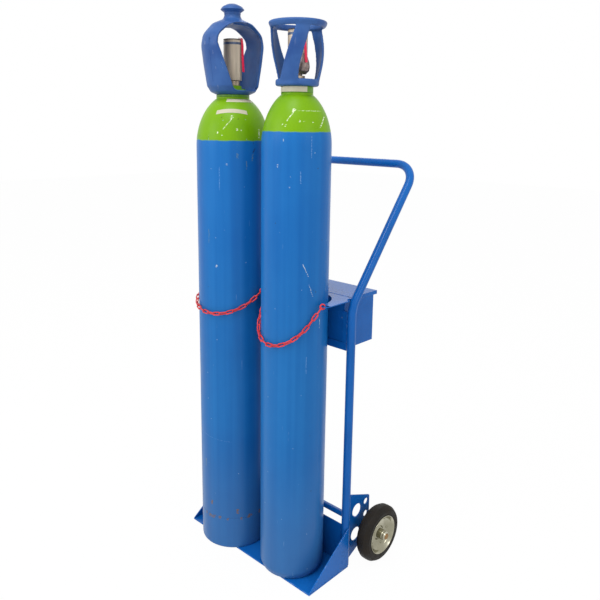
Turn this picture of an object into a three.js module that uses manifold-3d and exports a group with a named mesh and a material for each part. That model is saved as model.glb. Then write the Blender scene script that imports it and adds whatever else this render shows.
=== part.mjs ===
// Hand cart for two gas bottles: a bent tube frame on a folded toe tray, two rubber-tyred wheels,
// a scalloped cradle plate with holding chains, and a lidded tool tray behind it.
// Millimetres, +Z up. X runs along the row of bottles, +Y towards the handle.
// The origin is on the floor, midway between the uprights and in line with the right-hand bottle.
import * as THREE from 'three';
import { mergeVertices } from 'three/addons/utils/BufferGeometryUtils.js';
import Module from 'manifold-3d';

const wasm = await Module();
wasm.setup();

// Clearances, and how far a cutting box runs past an open side
const WELD_GAP = 0.3;
const RUNNING_GAP = 0.35;
const OPEN_CUT = 10;

// Frame tube: uprights bent back into a handle hoop
const TUBE_RADIUS = 13.45;
const TUBE_SIDES = 12;
const UPRIGHT_X = 265.5;
const UPRIGHT_Y = 109;
const BEND_Z = 873;
const BEND_RADIUS = 90;
const HANDLE_BAR_Y = 427;
const HANDLE_BAR_Z = 1287;
const HANDLE_CORNER_RADIUS = 80;
const SPLICE_PAST_BEND = 46;
const BEND_STEPS = 5;

// Toe tray
const TRAY_HALF_WIDTH = 283;
const TRAY_FRONT_Y = -82;
const TRAY_REAR_Y = 106;
const TOE_PLATE_THICKNESS = 5;
const GUSSET_THICKNESS = 4;
const GUSSET_HEIGHT = 137;
const GUSSET_TOP_LAND = 6;
const BACK_WALL_THICKNESS = 3;
const BACK_WALL_HEIGHT = 142;
const CROSS_TUBE_RADIUS = 8.6;
const CROSS_TUBE_Y = 115;
const CROSS_TUBE_Z = 171;
const CROSS_TUBE_HALF_LENGTH = 260;

// Wheel brackets and axle
const BRACKET_THICKNESS = 4;
const BRACKET_REAR_Y = 231;
const BRACKET_TOP_FRONT_Z = 245;
const BRACKET_TOP_REAR_Z = 197;
const BRACKET_LOW_REAR_Z = 66;
const BRACKET_LOW_FRONT_Z = 11;
const BRACKET_CORNER = 6;
const LARGE_HOLE_RADIUS = 22.5;
const LARGE_HOLES = [[164, 171], [160, 87]];
const SMALL_HOLE_RADIUS = 10.5;
const AXLE_Y = 212;
const AXLE_Z = 93;
const SMALL_HOLE_PITCH = 45;
const AXLE_RADIUS = 10;
const AXLE_SIDES = 16;
const AXLE_HALF_LENGTH = 357;
const AXLE_CHAMFER = 2;
const SPACER_RADIUS = 14;
const WASHER_RADIUS = 15;
const WASHER_THICKNESS = 2.7;
const COLLAR_RADIUS = 13;
const COLLAR_WIDTH = 5;

// Wheels
const TYRE_RADIUS = 92;
const TYRE_HALF_WIDTH = 23;
const TREAD_ROUNDING = 11;
const SIDEWALL_TAPER = 2;
const TYRE_BEAD = 5;
const TYRE_SEAT_DEPTH = 3;
const RIM_RADIUS = 64;
const RIM_WEB_RADIUS = 34;
const RIM_DISH_DEPTH = 7;
const RIM_LIP = 1;
const RIM_SHEET = 2.2;
const WHEEL_X = 319;
const WHEEL_SEGMENTS = 22;
const HUB_RADIUS = 16;
const HUB_HALF_LENGTH = 27;

// Bottles: two stock sizes that stand with their backs in line
const LEFT_BOTTLE = { radius: 114.5, x: -132, y: -13, neckRadius: 51, neckZ: 1491 };
const RIGHT_BOTTLE = { radius: 102, x: 129.5, y: 0, neckRadius: 46, neckZ: 1499 };
const BOTTLE_WALL = 6;
const BOTTLE_SEGMENTS = 24;
const SHOULDER_STEPS = 5;
const INNER_SHOULDER_STEPS = 2;
const GUARD_SEGMENTS = 20;
const VALVE_SEGMENTS = 12;
const NECK_HEIGHT = 4;
const SHOULDER_DROP = 151;
const SHOULDER_OVERRISE = 12;
const SPIGOT_RADIUS = 27;
const SPIGOT_HEIGHT = 34;
const BORE_RADIUS = 13;
const NECK_RING_CLEARANCE = 1.4;
const THREAD_RADIUS = 39.5;
const GUARD_BORE = 40.2;
const FOOT_RING_HEIGHT = 109;
const FOOT_RING_WALL = 5.5;
const LEFT_FLANGE_HEIGHT = 6.5;
const LEFT_THREAD_HEIGHT = 18;
const RIGHT_FLANGE_HEIGHT = 17.5;
const RIGHT_THREAD_HEIGHT = 15;
const GUARD_SEAT_GAP = 0.5;

// Valves
const STEM_LENGTH = 26;
const STEM_TAPER = 1.5;
const WRENCH_COLLAR_RADIUS = 22;
const POST_RADIUS = 14;
const POST_BELOW_TOP = 28;
const SLEEVE_RADIUS = 28;
const SLEEVE_WALL = 2;
const SLEEVE_ROUNDING = 5;
const LEFT_SLEEVE_LOW_Z = 1541;
const LEFT_SLEEVE_TOP_Z = 1663;
const RIGHT_SLEEVE_LOW_Z = 1594;
const RIGHT_SLEEVE_TOP_Z = 1672;
const RIGHT_COLLAR_TOP_Z = 1546;
const STRIP_THICKNESS = 1.2;
const STRIP_HALF_WIDTH = 3.5;
const STRIP_TAIL_LIFT = 5;
const STRIP_BELOW_TOP = 4;
const LEFT_STRIP_LOW_Z = 1565;
const RIGHT_STRIP_LOW_Z = 1596;
const OUTLET_LOW_Z = 1549;
const OUTLET_REACH = 22;

// Cradle plate, tool tray and lid
const CRADLE_TOP_Z = 895;
const CRADLE_THICKNESS = 3;
const CRADLE_HALF_WIDTH = 264;
const LEFT_SCALLOP = { radius: 118, y: -5 };
const RIGHT_SCALLOP = { radius: 107, y: 7.75 };
const HORN_TIP_Y = -6;
const CHAIN_EYE_Y = 0.6;
const CHAIN_EYE_RADIUS = 4;
const TONGUE_EYE_OFFSET = 10;
const HINGE_Y = 131;
const HINGE_KNUCKLE_RADIUS = 3.2;
const HINGE_PIN_RADIUS = 1.6;
const HINGE_HALF_LENGTH = 228;
const HINGE_KNUCKLES = 7;
const HINGE_SIDES = 6;
const HINGE_PIN_CLEARANCE = 0.25;
const HINGE_LID_GAP = 0.5;
const HINGE_PIN_PROUD = 2;
const LEAF_THICKNESS = 1.5;
const LEAF_WIDTH = 15;
const LEAF_ROOT_BITE = 0.2;
const BOX_HALF_WIDTH = 239;
const BOX_FRONT_Y = 107;
const BOX_REAR_Y = 251;
const BOX_BOTTOM_Z = 732;
const SHEET = 1.6;
const LID_HALF_WIDTH = 243;
const LID_REAR_Y = 264;
const LID_LIP = 12;
const LID_SHEET = 2;
const RAIL_HEIGHT = 24;
const RAIL_THICKNESS = 3;
const STRAP_WIDTH = 18;
const STRAP_TOP = 125;

// Chains
const LINK_WIRE_RADIUS = 2.2;
const LINK_WIRE_SIDES = 4;
const LINK_LENGTH = 28;
const LINK_WIDTH = 14;
const LINK_PITCH = 21.4;
const LINK_BITE = 0.8;
const END_RING_RADIUS = 7.5;
const END_RING_STEPS = 8;
const LINK_END_STEPS = 3;
const ROUTE_STEPS = 12;
const CHAIN_STAND_OFF = 6.5;
const RIGHT_CHAIN_LOW_Z = 774;
const RIGHT_CHAIN_LOW_SHARE = 0.5;
const LEFT_CHAIN_LOW_Z = 825;
const LEFT_CHAIN_LOW_SHARE = 0.44;

// Directions about +Z in which the guards, pull strips and outlet face
const LEFT_WINDOW_ANGLE = THREE.MathUtils.degToRad(-11);
const RIGHT_STRAP_ANGLE = THREE.MathUtils.degToRad(-31.6);
const LEFT_STRIP_ANGLE = THREE.MathUtils.degToRad(24);
const RIGHT_STRIP_ANGLE = THREE.MathUtils.degToRad(3.4);
const OUTLET_ANGLE = THREE.MathUtils.degToRad(-3);

// Finishes
const BLUE_PAINT = { color: 0x1d4fa8, roughness: 0.4, metalness: 0 };
const BOTTLE_BLUE = { color: 0x2d72b6, roughness: 0.45, metalness: 0 };
const GUARD_BLUE = { color: 0x3a62ae, roughness: 0.5, metalness: 0 };
const CHAIN_RED = { color: 0xd23a3a, roughness: 0.5, metalness: 0 };
const STRIP_RED = { color: 0xd0143c, roughness: 0.5, metalness: 0 };
const ZINC = { color: 0xc9c7b8, roughness: 0.3, metalness: 1 };
const PEWTER = { color: 0xa59b8c, roughness: 0.35, metalness: 1 };
const BRASS = { color: 0xb08d4a, roughness: 0.35, metalness: 1 };
const RUBBER = { color: 0x211f1c, roughness: 0.8, metalness: 0 };
const DARK_STEEL = { color: 0x55504a, roughness: 0.45, metalness: 1 };

const CURVE_SEGMENTS = 5;
const X_AXIS = new THREE.Vector3(1, 0, 0);
const Z_AXIS = new THREE.Vector3(0, 0, 1);
const SIDES = [['left', -1], ['right', 1]];

// Geometry helpers

function signedVolume(position, index) {
  const a = new THREE.Vector3();
  const b = new THREE.Vector3();
  const c = new THREE.Vector3();
  let volume = 0;
  for (let i = 0; i < index.length; i += 3) {
    a.fromBufferAttribute(position, index[i]);
    b.fromBufferAttribute(position, index[i + 1]);
    c.fromBufferAttribute(position, index[i + 2]);
    volume += a.dot(b.cross(c)) / 6;
  }
  return volume;
}

// Shared vertices are merged, slivers at poles dropped, and the faces turned outwards.
function closed(geometry) {
  const bare = geometry.index ? geometry.toNonIndexed() : geometry.clone();
  for (const name of Object.keys(bare.attributes)) {
    if (name !== 'position') bare.deleteAttribute(name);
  }
  const merged = mergeVertices(bare, 1e-4);
  const all = merged.index.array;
  const kept = [];
  for (let i = 0; i < all.length; i += 3) {
    const [a, b, c] = [all[i], all[i + 1], all[i + 2]];
    if (a !== b && b !== c && c !== a) kept.push(a, b, c);
  }
  if (signedVolume(merged.attributes.position, kept) < 0) {
    for (let i = 0; i < kept.length; i += 3) {
      [kept[i + 1], kept[i + 2]] = [kept[i + 2], kept[i + 1]];
    }
  }
  merged.setIndex(kept);
  return merged;
}

function solid(geometry) {
  const shape = closed(geometry);
  return new wasm.Manifold(new wasm.Mesh({
    numProp: 3,
    vertProperties: new Float32Array(shape.attributes.position.array),
    triVerts: new Uint32Array(shape.index.array),
  }));
}

function geometryOf(manifold) {
  const mesh = manifold.getMesh();
  const geometry = new THREE.BufferGeometry();
  geometry.setAttribute('position', new THREE.BufferAttribute(mesh.vertProperties, 3));
  geometry.setIndex(new THREE.BufferAttribute(mesh.triVerts, 1));
  return geometry;
}

function join(...geometries) {
  return geometryOf(geometries.map(solid).reduce((sum, next) => sum.add(next)));
}

function cut(geometry, ...tools) {
  return geometryOf(tools.map(solid).reduce((rest, tool) => rest.subtract(tool), solid(geometry)));
}

function boxBetween(low, high) {
  const size = high.map((value, axis) => value - low[axis]);
  const geometry = new THREE.BoxGeometry(...size);
  return geometry.translate(...low.map((value, axis) => value + size[axis] / 2));
}

// A profile of [radius, height] points turned about +Z.
function turned(profile, segments) {
  const points = profile.map(([radius, height]) => new THREE.Vector2(radius, height));
  return new THREE.LatheGeometry(points, segments).rotateX(Math.PI / 2);
}

// The same, turned about +X, with heights along +X.
function turnedAlongX(profile, segments) {
  const points = profile.map(([radius, along]) => new THREE.Vector2(radius, along));
  return new THREE.LatheGeometry(points, segments).rotateZ(-Math.PI / 2);
}

function ringProfile(inner, outer, low, high) {
  return [[inner, low], [outer, low], [outer, high], [inner, high], [inner, low]];
}

function rodProfile(radius, low, high) {
  return [[0, low], [radius, low], [radius, high], [0, high]];
}

function plate(shape, thickness) {
  const options = { depth: thickness, bevelEnabled: false, curveSegments: CURVE_SEGMENTS };
  return new THREE.ExtrudeGeometry(shape, options);
}

// A plate lying flat: its outline in X and Y, its lower face at z.
function flatPlate(shape, z, thickness) {
  return plate(shape, thickness).translate(0, 0, z);
}

// A plate standing across X: its outline in Y and Z, its nearer face at x.
function standingPlate(shape, x, thickness) {
  const geometry = plate(shape, thickness);
  const turn = new THREE.Matrix4().makeBasis(new THREE.Vector3(0, 1, 0), Z_AXIS, X_AXIS);
  return geometry.applyMatrix4(turn).translate(x, 0, 0);
}

// A skin through rings of equal count, capped at both ends or closed into a loop.
function skin(rings, loop = false) {
  const count = rings[0].length;
  const corners = [];
  const triangle = (a, b, c) => corners.push(a, b, c);
  const last = loop ? rings.length : rings.length - 1;
  for (let i = 0; i < last; i += 1) {
    const here = rings[i];
    const next = rings[(i + 1) % rings.length];
    for (let j = 0; j < count; j += 1) {
      const k = (j + 1) % count;
      triangle(here[j], next[j], next[k]);
      triangle(here[j], next[k], here[k]);
    }
  }
  if (!loop) {
    const [start, end] = [rings[0], rings.at(-1)];
    for (let j = 1; j < count - 1; j += 1) {
      triangle(start[0], start[j], start[j + 1]);
      triangle(end[0], end[j + 1], end[j]);
    }
  }
  return new THREE.BufferGeometry().setFromPoints(corners);
}

// Rings of a round wire or tube along stations that lie in one plane.
function roundRings(stations, planeNormal, radius, sides, loop = false) {
  const last = stations.length - 1;
  return stations.map((station, i) => {
    const before = loop ? stations.at(i - 1) : stations[Math.max(i - 1, 0)];
    const after = loop ? stations[(i + 1) % stations.length] : stations[Math.min(i + 1, last)];
    const across = after.clone().sub(before).normalize().cross(planeNormal).normalize();
    return Array.from({ length: sides }, (_, j) => {
      const angle = (2 * Math.PI * (j + 0.5)) / sides;
      return station.clone()
        .addScaledVector(planeNormal, radius * Math.cos(angle))
        .addScaledVector(across, radius * Math.sin(angle));
    });
  });
}

// Points of an arc between two directions out of a centre, in the plane of two unit vectors.
function arcPoints(centre, radius, first, second, sweep, steps) {
  return Array.from({ length: steps + 1 }, (_, i) => {
    const angle = (sweep * i) / steps;
    return centre.clone()
      .addScaledVector(first, radius * Math.cos(angle))
      .addScaledVector(second, radius * Math.sin(angle));
  });
}

const cart = new THREE.Group();

function addPiece(parent, name, geometry, finish) {
  const material = new THREE.MeshStandardMaterial({ ...finish, flatShading: true });
  const mesh = new THREE.Mesh(closed(geometry), material);
  mesh.name = name;
  parent.add(mesh);
  return mesh;
}

// Frame tubes

const armDirection = new THREE.Vector3(0, HANDLE_BAR_Y - UPRIGHT_Y, HANDLE_BAR_Z - BEND_Z).normalize();
const armLength = Math.hypot(HANDLE_BAR_Y - UPRIGHT_Y, HANDLE_BAR_Z - BEND_Z);
const armTilt = Math.acos(armDirection.z);

function uprightStations(x) {
  const bendRun = BEND_RADIUS * Math.tan(armTilt / 2);
  const bendCentre = new THREE.Vector3(x, UPRIGHT_Y + BEND_RADIUS, BEND_Z - bendRun);
  const forwards = new THREE.Vector3(0, -1, 0);
  const bend = arcPoints(bendCentre, BEND_RADIUS, forwards, Z_AXIS, armTilt, BEND_STEPS);
  const corner = new THREE.Vector3(x, UPRIGHT_Y, BEND_Z);
  const splice = corner.clone().addScaledVector(armDirection, SPLICE_PAST_BEND);
  return [new THREE.Vector3(x, UPRIGHT_Y, 0), ...bend, splice];
}

function uprightTube(x, radius) {
  return skin(roundRings(uprightStations(x), X_AXIS, radius, TUBE_SIDES));
}

function handleHoop() {
  const along = (x, run) => new THREE.Vector3(x, UPRIGHT_Y, BEND_Z).addScaledVector(armDirection, run);
  const start = SPLICE_PAST_BEND + WELD_GAP;
  const cornerX = UPRIGHT_X - HANDLE_CORNER_RADIUS;
  const cornerRun = armLength - HANDLE_CORNER_RADIUS;
  const leftwards = new THREE.Vector3(-1, 0, 0);
  const quarterTurn = (centre, first, second) => (
    arcPoints(centre, HANDLE_CORNER_RADIUS, first, second, Math.PI / 2, BEND_STEPS)
  );
  const leftCorner = quarterTurn(along(-cornerX, cornerRun), leftwards, armDirection);
  const rightCorner = quarterTurn(along(cornerX, cornerRun), armDirection, X_AXIS);
  const stations = [along(-UPRIGHT_X, start), ...leftCorner, ...rightCorner, along(UPRIGHT_X, start)];
  const planeNormal = X_AXIS.clone().cross(armDirection);
  return skin(roundRings(stations, planeNormal, TUBE_RADIUS, TUBE_SIDES));
}

for (const [side, sign] of SIDES) {
  addPiece(cart, `upright_${side}`, uprightTube(sign * UPRIGHT_X, TUBE_RADIUS), BLUE_PAINT);
}
addPiece(cart, 'handle_hoop', handleHoop(), BLUE_PAINT);

const crossTubeBlank = turnedAlongX(
  rodProfile(CROSS_TUBE_RADIUS, -CROSS_TUBE_HALF_LENGTH, CROSS_TUBE_HALF_LENGTH),
  TUBE_SIDES,
).translate(0, CROSS_TUBE_Y, CROSS_TUBE_Z);
const crossTube = cut(
  crossTubeBlank,
  uprightTube(-UPRIGHT_X, TUBE_RADIUS + WELD_GAP),
  uprightTube(UPRIGHT_X, TUBE_RADIUS + WELD_GAP),
);
addPiece(cart, 'cross_tube', crossTube, BLUE_PAINT);

// Toe tray

function toePlateOutline() {
  const notch = TUBE_RADIUS + WELD_GAP;
  const inset = UPRIGHT_Y - TRAY_REAR_Y;
  const reach = Math.asin(inset / notch);
  const shape = new THREE.Shape();
  shape.moveTo(-TRAY_HALF_WIDTH, TRAY_FRONT_Y);
  shape.lineTo(TRAY_HALF_WIDTH, TRAY_FRONT_Y);
  shape.lineTo(TRAY_HALF_WIDTH, TRAY_REAR_Y);
  shape.absarc(UPRIGHT_X, UPRIGHT_Y, notch, -reach, -Math.PI + reach, true);
  shape.absarc(-UPRIGHT_X, UPRIGHT_Y, notch, -reach, -Math.PI + reach, true);
  shape.lineTo(-TRAY_HALF_WIDTH, TRAY_REAR_Y);
  return shape;
}
addPiece(cart, 'toe_plate', flatPlate(toePlateOutline(), 0, TOE_PLATE_THICKNESS), BLUE_PAINT);

const trayFloor = TOE_PLATE_THICKNESS + WELD_GAP;
const wallHalfWidth = UPRIGHT_X - TUBE_RADIUS - WELD_GAP;
const backWall = boxBetween(
  [-wallHalfWidth, TRAY_REAR_Y - BACK_WALL_THICKNESS, trayFloor],
  [wallHalfWidth, TRAY_REAR_Y, BACK_WALL_HEIGHT],
);
addPiece(cart, 'back_wall', backWall, BLUE_PAINT);

function gussetOutline() {
  const shape = new THREE.Shape();
  shape.moveTo(TRAY_FRONT_Y, trayFloor);
  shape.lineTo(TRAY_REAR_Y, trayFloor);
  shape.lineTo(TRAY_REAR_Y, GUSSET_HEIGHT);
  shape.lineTo(TRAY_REAR_Y - GUSSET_TOP_LAND, GUSSET_HEIGHT);
  return shape;
}
for (const [side, sign] of SIDES) {
  const x = sign > 0 ? TRAY_HALF_WIDTH - GUSSET_THICKNESS : -TRAY_HALF_WIDTH;
  addPiece(cart, `side_gusset_${side}`, standingPlate(gussetOutline(), x, GUSSET_THICKNESS), BLUE_PAINT);
}

// Wheel brackets

function bracketOutline() {
  const front = UPRIGHT_Y + TUBE_RADIUS + WELD_GAP;
  const rear = BRACKET_REAR_Y;
  const turnIn = rear - BRACKET_CORNER;
  const [low, high] = [BRACKET_LOW_REAR_Z, BRACKET_TOP_REAR_Z];
  const shape = new THREE.Shape();
  shape.moveTo(front, BRACKET_LOW_FRONT_Z);
  shape.lineTo(turnIn, low - BRACKET_CORNER / 2);
  shape.quadraticCurveTo(rear, low, rear, low + BRACKET_CORNER);
  shape.lineTo(rear, high - BRACKET_CORNER);
  shape.quadraticCurveTo(rear, high, turnIn, high + BRACKET_CORNER / 2);
  shape.lineTo(front, BRACKET_TOP_FRONT_Z);
  const holes = LARGE_HOLES.map(([y, z]) => [y, z, LARGE_HOLE_RADIUS]);
  for (const step of [0, 1, 2]) holes.push([AXLE_Y, AXLE_Z + step * SMALL_HOLE_PITCH, SMALL_HOLE_RADIUS]);
  for (const [y, z, radius] of holes) {
    shape.holes.push(new THREE.Path().absarc(y, z, radius, 0, 2 * Math.PI, true));
  }
  return shape;
}
for (const [side, sign] of SIDES) {
  const x = sign * UPRIGHT_X - BRACKET_THICKNESS / 2;
  addPiece(cart, `wheel_bracket_${side}`, standingPlate(bracketOutline(), x, BRACKET_THICKNESS), BLUE_PAINT);
}

// Axle, spacers and end washers

const boreRadius = AXLE_RADIUS + RUNNING_GAP;
const axle = turnedAlongX(
  [
    [0, -AXLE_HALF_LENGTH],
    [AXLE_RADIUS - AXLE_CHAMFER, -AXLE_HALF_LENGTH],
    [AXLE_RADIUS, -AXLE_HALF_LENGTH + AXLE_CHAMFER],
    [AXLE_RADIUS, AXLE_HALF_LENGTH - AXLE_CHAMFER],
    [AXLE_RADIUS - AXLE_CHAMFER, AXLE_HALF_LENGTH],
    [0, AXLE_HALF_LENGTH],
  ],
  AXLE_SIDES,
).translate(0, AXLE_Y, AXLE_Z);
addPiece(cart, 'axle', axle, DARK_STEEL);

const hubInnerX = WHEEL_X - HUB_HALF_LENGTH;
const hubOuterX = WHEEL_X + HUB_HALF_LENGTH;
for (const [side, sign] of SIDES) {
  const carrier = new THREE.Group();
  carrier.position.set(0, AXLE_Y, AXLE_Z);
  carrier.rotation.z = sign > 0 ? 0 : Math.PI;
  cart.add(carrier);
  const ringOnAxle = (radius, start, end) => (
    turnedAlongX(ringProfile(boreRadius, radius, start, end), AXLE_SIDES)
  );
  const spacerStart = UPRIGHT_X + BRACKET_THICKNESS / 2 + WELD_GAP;
  const washerStart = hubOuterX + WELD_GAP;
  const collarStart = washerStart + WASHER_THICKNESS + WELD_GAP;
  const spacer = ringOnAxle(SPACER_RADIUS, spacerStart, hubInnerX - WELD_GAP);
  const washer = ringOnAxle(WASHER_RADIUS, washerStart, washerStart + WASHER_THICKNESS);
  const collar = ringOnAxle(COLLAR_RADIUS, collarStart, collarStart + COLLAR_WIDTH);
  addPiece(carrier, `axle_spacer_${side}`, spacer, ZINC);
  addPiece(carrier, `axle_washer_${side}`, washer, ZINC);
  addPiece(carrier, `axle_collar_${side}`, collar, BRASS);
}

// Wheels: a solid rubber tyre on a pressed rim of two dished halves, riveted to a hub sleeve

const alongMirrored = (profile) => profile.map(([radius, along]) => [radius, -along]);

function tyreProfile() {
  const half = [
    [TYRE_RADIUS, TYRE_HALF_WIDTH - TREAD_ROUNDING],
    [TYRE_RADIUS - TREAD_ROUNDING, TYRE_HALF_WIDTH - SIDEWALL_TAPER],
    [RIM_RADIUS + SIDEWALL_TAPER, TYRE_HALF_WIDTH],
    [RIM_RADIUS - TYRE_SEAT_DEPTH, TYRE_HALF_WIDTH - TYRE_BEAD],
  ];
  const otherHalf = alongMirrored(half).reverse();
  return [...otherHalf, ...half, otherHalf[0]];
}

// One half of the rim, from its middle plane out to the rolled edge.
function rimHalfProfile() {
  const hub = HUB_RADIUS + WELD_GAP;
  const well = RIM_RADIUS - TYRE_SEAT_DEPTH - WELD_GAP;
  const web = 2 * WELD_GAP;
  const lipRoot = TYRE_HALF_WIDTH - TYRE_BEAD - 2 * WELD_GAP;
  return [
    [hub, web],
    [RIM_WEB_RADIUS, web],
    [well, RIM_DISH_DEPTH],
    [well, lipRoot],
    [RIM_RADIUS - RIM_LIP, TYRE_HALF_WIDTH + RIM_LIP],
    [well - RIM_SHEET, lipRoot + RIM_SHEET],
    [well - RIM_SHEET, RIM_DISH_DEPTH + RIM_SHEET],
    [RIM_WEB_RADIUS - RIM_LIP, web + RIM_SHEET],
    [hub, web + RIM_SHEET],
    [hub, web],
  ];
}

for (const [side, sign] of SIDES) {
  const wheel = new THREE.Group();
  wheel.position.set(sign * WHEEL_X, AXLE_Y, AXLE_Z);
  wheel.rotation.z = sign > 0 ? 0 : Math.PI;
  cart.add(wheel);
  addPiece(wheel, `tyre_${side}`, turnedAlongX(tyreProfile(), WHEEL_SEGMENTS), RUBBER);
  addPiece(wheel, `rim_outer_${side}`, turnedAlongX(rimHalfProfile(), WHEEL_SEGMENTS), ZINC);
  const innerHalf = turnedAlongX(alongMirrored(rimHalfProfile()), WHEEL_SEGMENTS);
  addPiece(wheel, `rim_inner_${side}`, innerHalf, ZINC);
  const hub = turnedAlongX(
    ringProfile(boreRadius, HUB_RADIUS, -HUB_HALF_LENGTH, HUB_HALF_LENGTH),
    AXLE_SIDES,
  );
  addPiece(wheel, `hub_sleeve_${side}`, hub, ZINC);
}

// Cradle plate: scalloped for the bottles, with a horn beside each that takes the chain ends

// Each horn ends in a round tip as wide as what its scallop leaves, and the tongue stands between the two.
const leftTip = (CRADLE_HALF_WIDTH + LEFT_BOTTLE.x - LEFT_SCALLOP.radius) / 2;
const rightTip = (CRADLE_HALF_WIDTH - RIGHT_BOTTLE.x - RIGHT_SCALLOP.radius) / 2;
const leftHornX = -CRADLE_HALF_WIDTH + leftTip;
const rightHornX = CRADLE_HALF_WIDTH - rightTip;
const tongueLeftX = LEFT_BOTTLE.x + LEFT_SCALLOP.radius;
const tongueRightX = RIGHT_BOTTLE.x - RIGHT_SCALLOP.radius;
const tongueX = (tongueLeftX + tongueRightX) / 2;
const eye = (x) => new THREE.Vector2(x, CHAIN_EYE_Y);
const leftHornEye = eye(leftHornX);
const leftTongueEye = eye(tongueX - TONGUE_EYE_OFFSET);
const rightTongueEye = eye(tongueX + TONGUE_EYE_OFFSET);
const rightHornEye = eye(rightHornX);

function cradleOutline() {
  const rear = HINGE_Y - HINGE_KNUCKLE_RADIUS - WELD_GAP;
  const shape = new THREE.Shape();
  const hornTip = (x, radius) => shape.absarc(x, HORN_TIP_Y + radius, radius, Math.PI, 2 * Math.PI, false);
  const scallop = (bottle, { radius, y }, tip) => {
    const lean = Math.asin((HORN_TIP_Y + tip - y) / radius);
    shape.absarc(bottle.x, y, radius, Math.PI - lean, lean, true);
  };
  shape.moveTo(-CRADLE_HALF_WIDTH, rear);
  shape.lineTo(-CRADLE_HALF_WIDTH, HORN_TIP_Y + leftTip);
  hornTip(leftHornX, leftTip);
  scallop(LEFT_BOTTLE, LEFT_SCALLOP, leftTip);
  shape.lineTo(tongueLeftX, HORN_TIP_Y);
  shape.lineTo(tongueRightX, HORN_TIP_Y);
  scallop(RIGHT_BOTTLE, RIGHT_SCALLOP, rightTip);
  hornTip(rightHornX, rightTip);
  shape.lineTo(CRADLE_HALF_WIDTH, rear);
  for (const { x, y } of [leftHornEye, leftTongueEye, rightTongueEye, rightHornEye]) {
    shape.holes.push(new THREE.Path().absarc(x, y, CHAIN_EYE_RADIUS, 0, 2 * Math.PI, true));
  }
  return shape;
}
const cradlePlate = cut(
  flatPlate(cradleOutline(), CRADLE_TOP_Z - CRADLE_THICKNESS, CRADLE_THICKNESS),
  uprightTube(-UPRIGHT_X, TUBE_RADIUS + WELD_GAP),
  uprightTube(UPRIGHT_X, TUBE_RADIUS + WELD_GAP),
);
addPiece(cart, 'cradle_plate', cradlePlate, BLUE_PAINT);

// Tool tray between the uprights: a folded sheet box, open at the top

const boxTopZ = CRADLE_TOP_Z - CRADLE_THICKNESS - WELD_GAP;
const toolTray = cut(
  boxBetween([-BOX_HALF_WIDTH, BOX_FRONT_Y, BOX_BOTTOM_Z], [BOX_HALF_WIDTH, BOX_REAR_Y, boxTopZ]),
  boxBetween(
    [-BOX_HALF_WIDTH + SHEET, BOX_FRONT_Y + SHEET, BOX_BOTTOM_Z + SHEET],
    [BOX_HALF_WIDTH - SHEET, BOX_REAR_Y - SHEET, boxTopZ + OPEN_CUT],
  ),
);
addPiece(cart, 'tool_tray', toolTray, BLUE_PAINT);

// A rail along the foot of the tray's front, and a strap up each end, tie it to the uprights.
const railBack = BOX_FRONT_Y - WELD_GAP;
const railFront = railBack - RAIL_THICKNESS;
const rail = boxBetween(
  [-wallHalfWidth, railFront, BOX_BOTTOM_Z],
  [wallHalfWidth, railBack, BOX_BOTTOM_Z + RAIL_HEIGHT],
);
addPiece(cart, 'tray_rail', rail, BLUE_PAINT);
for (const [side, sign] of SIDES) {
  const inner = sign * (wallHalfWidth - STRAP_WIDTH);
  const outer = sign * wallHalfWidth;
  const trayStrap = boxBetween(
    [Math.min(inner, outer), railFront, BOX_BOTTOM_Z + RAIL_HEIGHT + WELD_GAP],
    [Math.max(inner, outer), railBack, BOX_BOTTOM_Z + STRAP_TOP],
  );
  addPiece(cart, `tray_strap_${side}`, trayStrap, BLUE_PAINT);
}

// Lid on a long knuckled hinge

const hingeZ = CRADLE_TOP_Z - CRADLE_THICKNESS;
const lidGap = HINGE_KNUCKLE_RADIUS + HINGE_LID_GAP;
const leafTop = hingeZ - WELD_GAP;
const knuckleLength = (2 * HINGE_HALF_LENGTH) / HINGE_KNUCKLES;

function onHingeAxis(radius, start, end) {
  return turnedAlongX(rodProfile(radius, start, end), HINGE_SIDES).translate(0, HINGE_Y, hingeZ);
}

// Every other knuckle belongs to one leaf, and those between to the other.
function hingeLeaf(towards, remainder) {
  const near = HINGE_Y + towards * lidGap;
  const far = HINGE_Y + towards * (lidGap + LEAF_WIDTH);
  let leaf = boxBetween(
    [-HINGE_HALF_LENGTH, Math.min(near, far), leafTop - LEAF_THICKNESS],
    [HINGE_HALF_LENGTH, Math.max(near, far), leafTop],
  );
  for (let k = remainder; k < HINGE_KNUCKLES; k += 2) {
    const start = -HINGE_HALF_LENGTH + k * knuckleLength + WELD_GAP;
    const end = start + knuckleLength - 2 * WELD_GAP;
    const barrel = onHingeAxis(HINGE_KNUCKLE_RADIUS, start, end);
    const root = boxBetween(
      [start, Math.min(HINGE_Y, near) - LEAF_ROOT_BITE, leafTop - LEAF_THICKNESS],
      [end, Math.max(HINGE_Y, near) + LEAF_ROOT_BITE, leafTop],
    );
    leaf = join(leaf, barrel, root);
  }
  const holeRadius = HINGE_PIN_RADIUS + HINGE_PIN_CLEARANCE;
  const holeEnd = HINGE_HALF_LENGTH + OPEN_CUT;
  return cut(leaf, onHingeAxis(holeRadius, -holeEnd, holeEnd));
}
addPiece(cart, 'hinge_fixed_leaf', hingeLeaf(-1, 0), BLUE_PAINT);
addPiece(cart, 'hinge_lid_leaf', hingeLeaf(1, 1), BLUE_PAINT);
const pinEnd = HINGE_HALF_LENGTH + HINGE_PIN_PROUD;
addPiece(cart, 'hinge_pin', onHingeAxis(HINGE_PIN_RADIUS, -pinEnd, pinEnd), ZINC);

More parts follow.
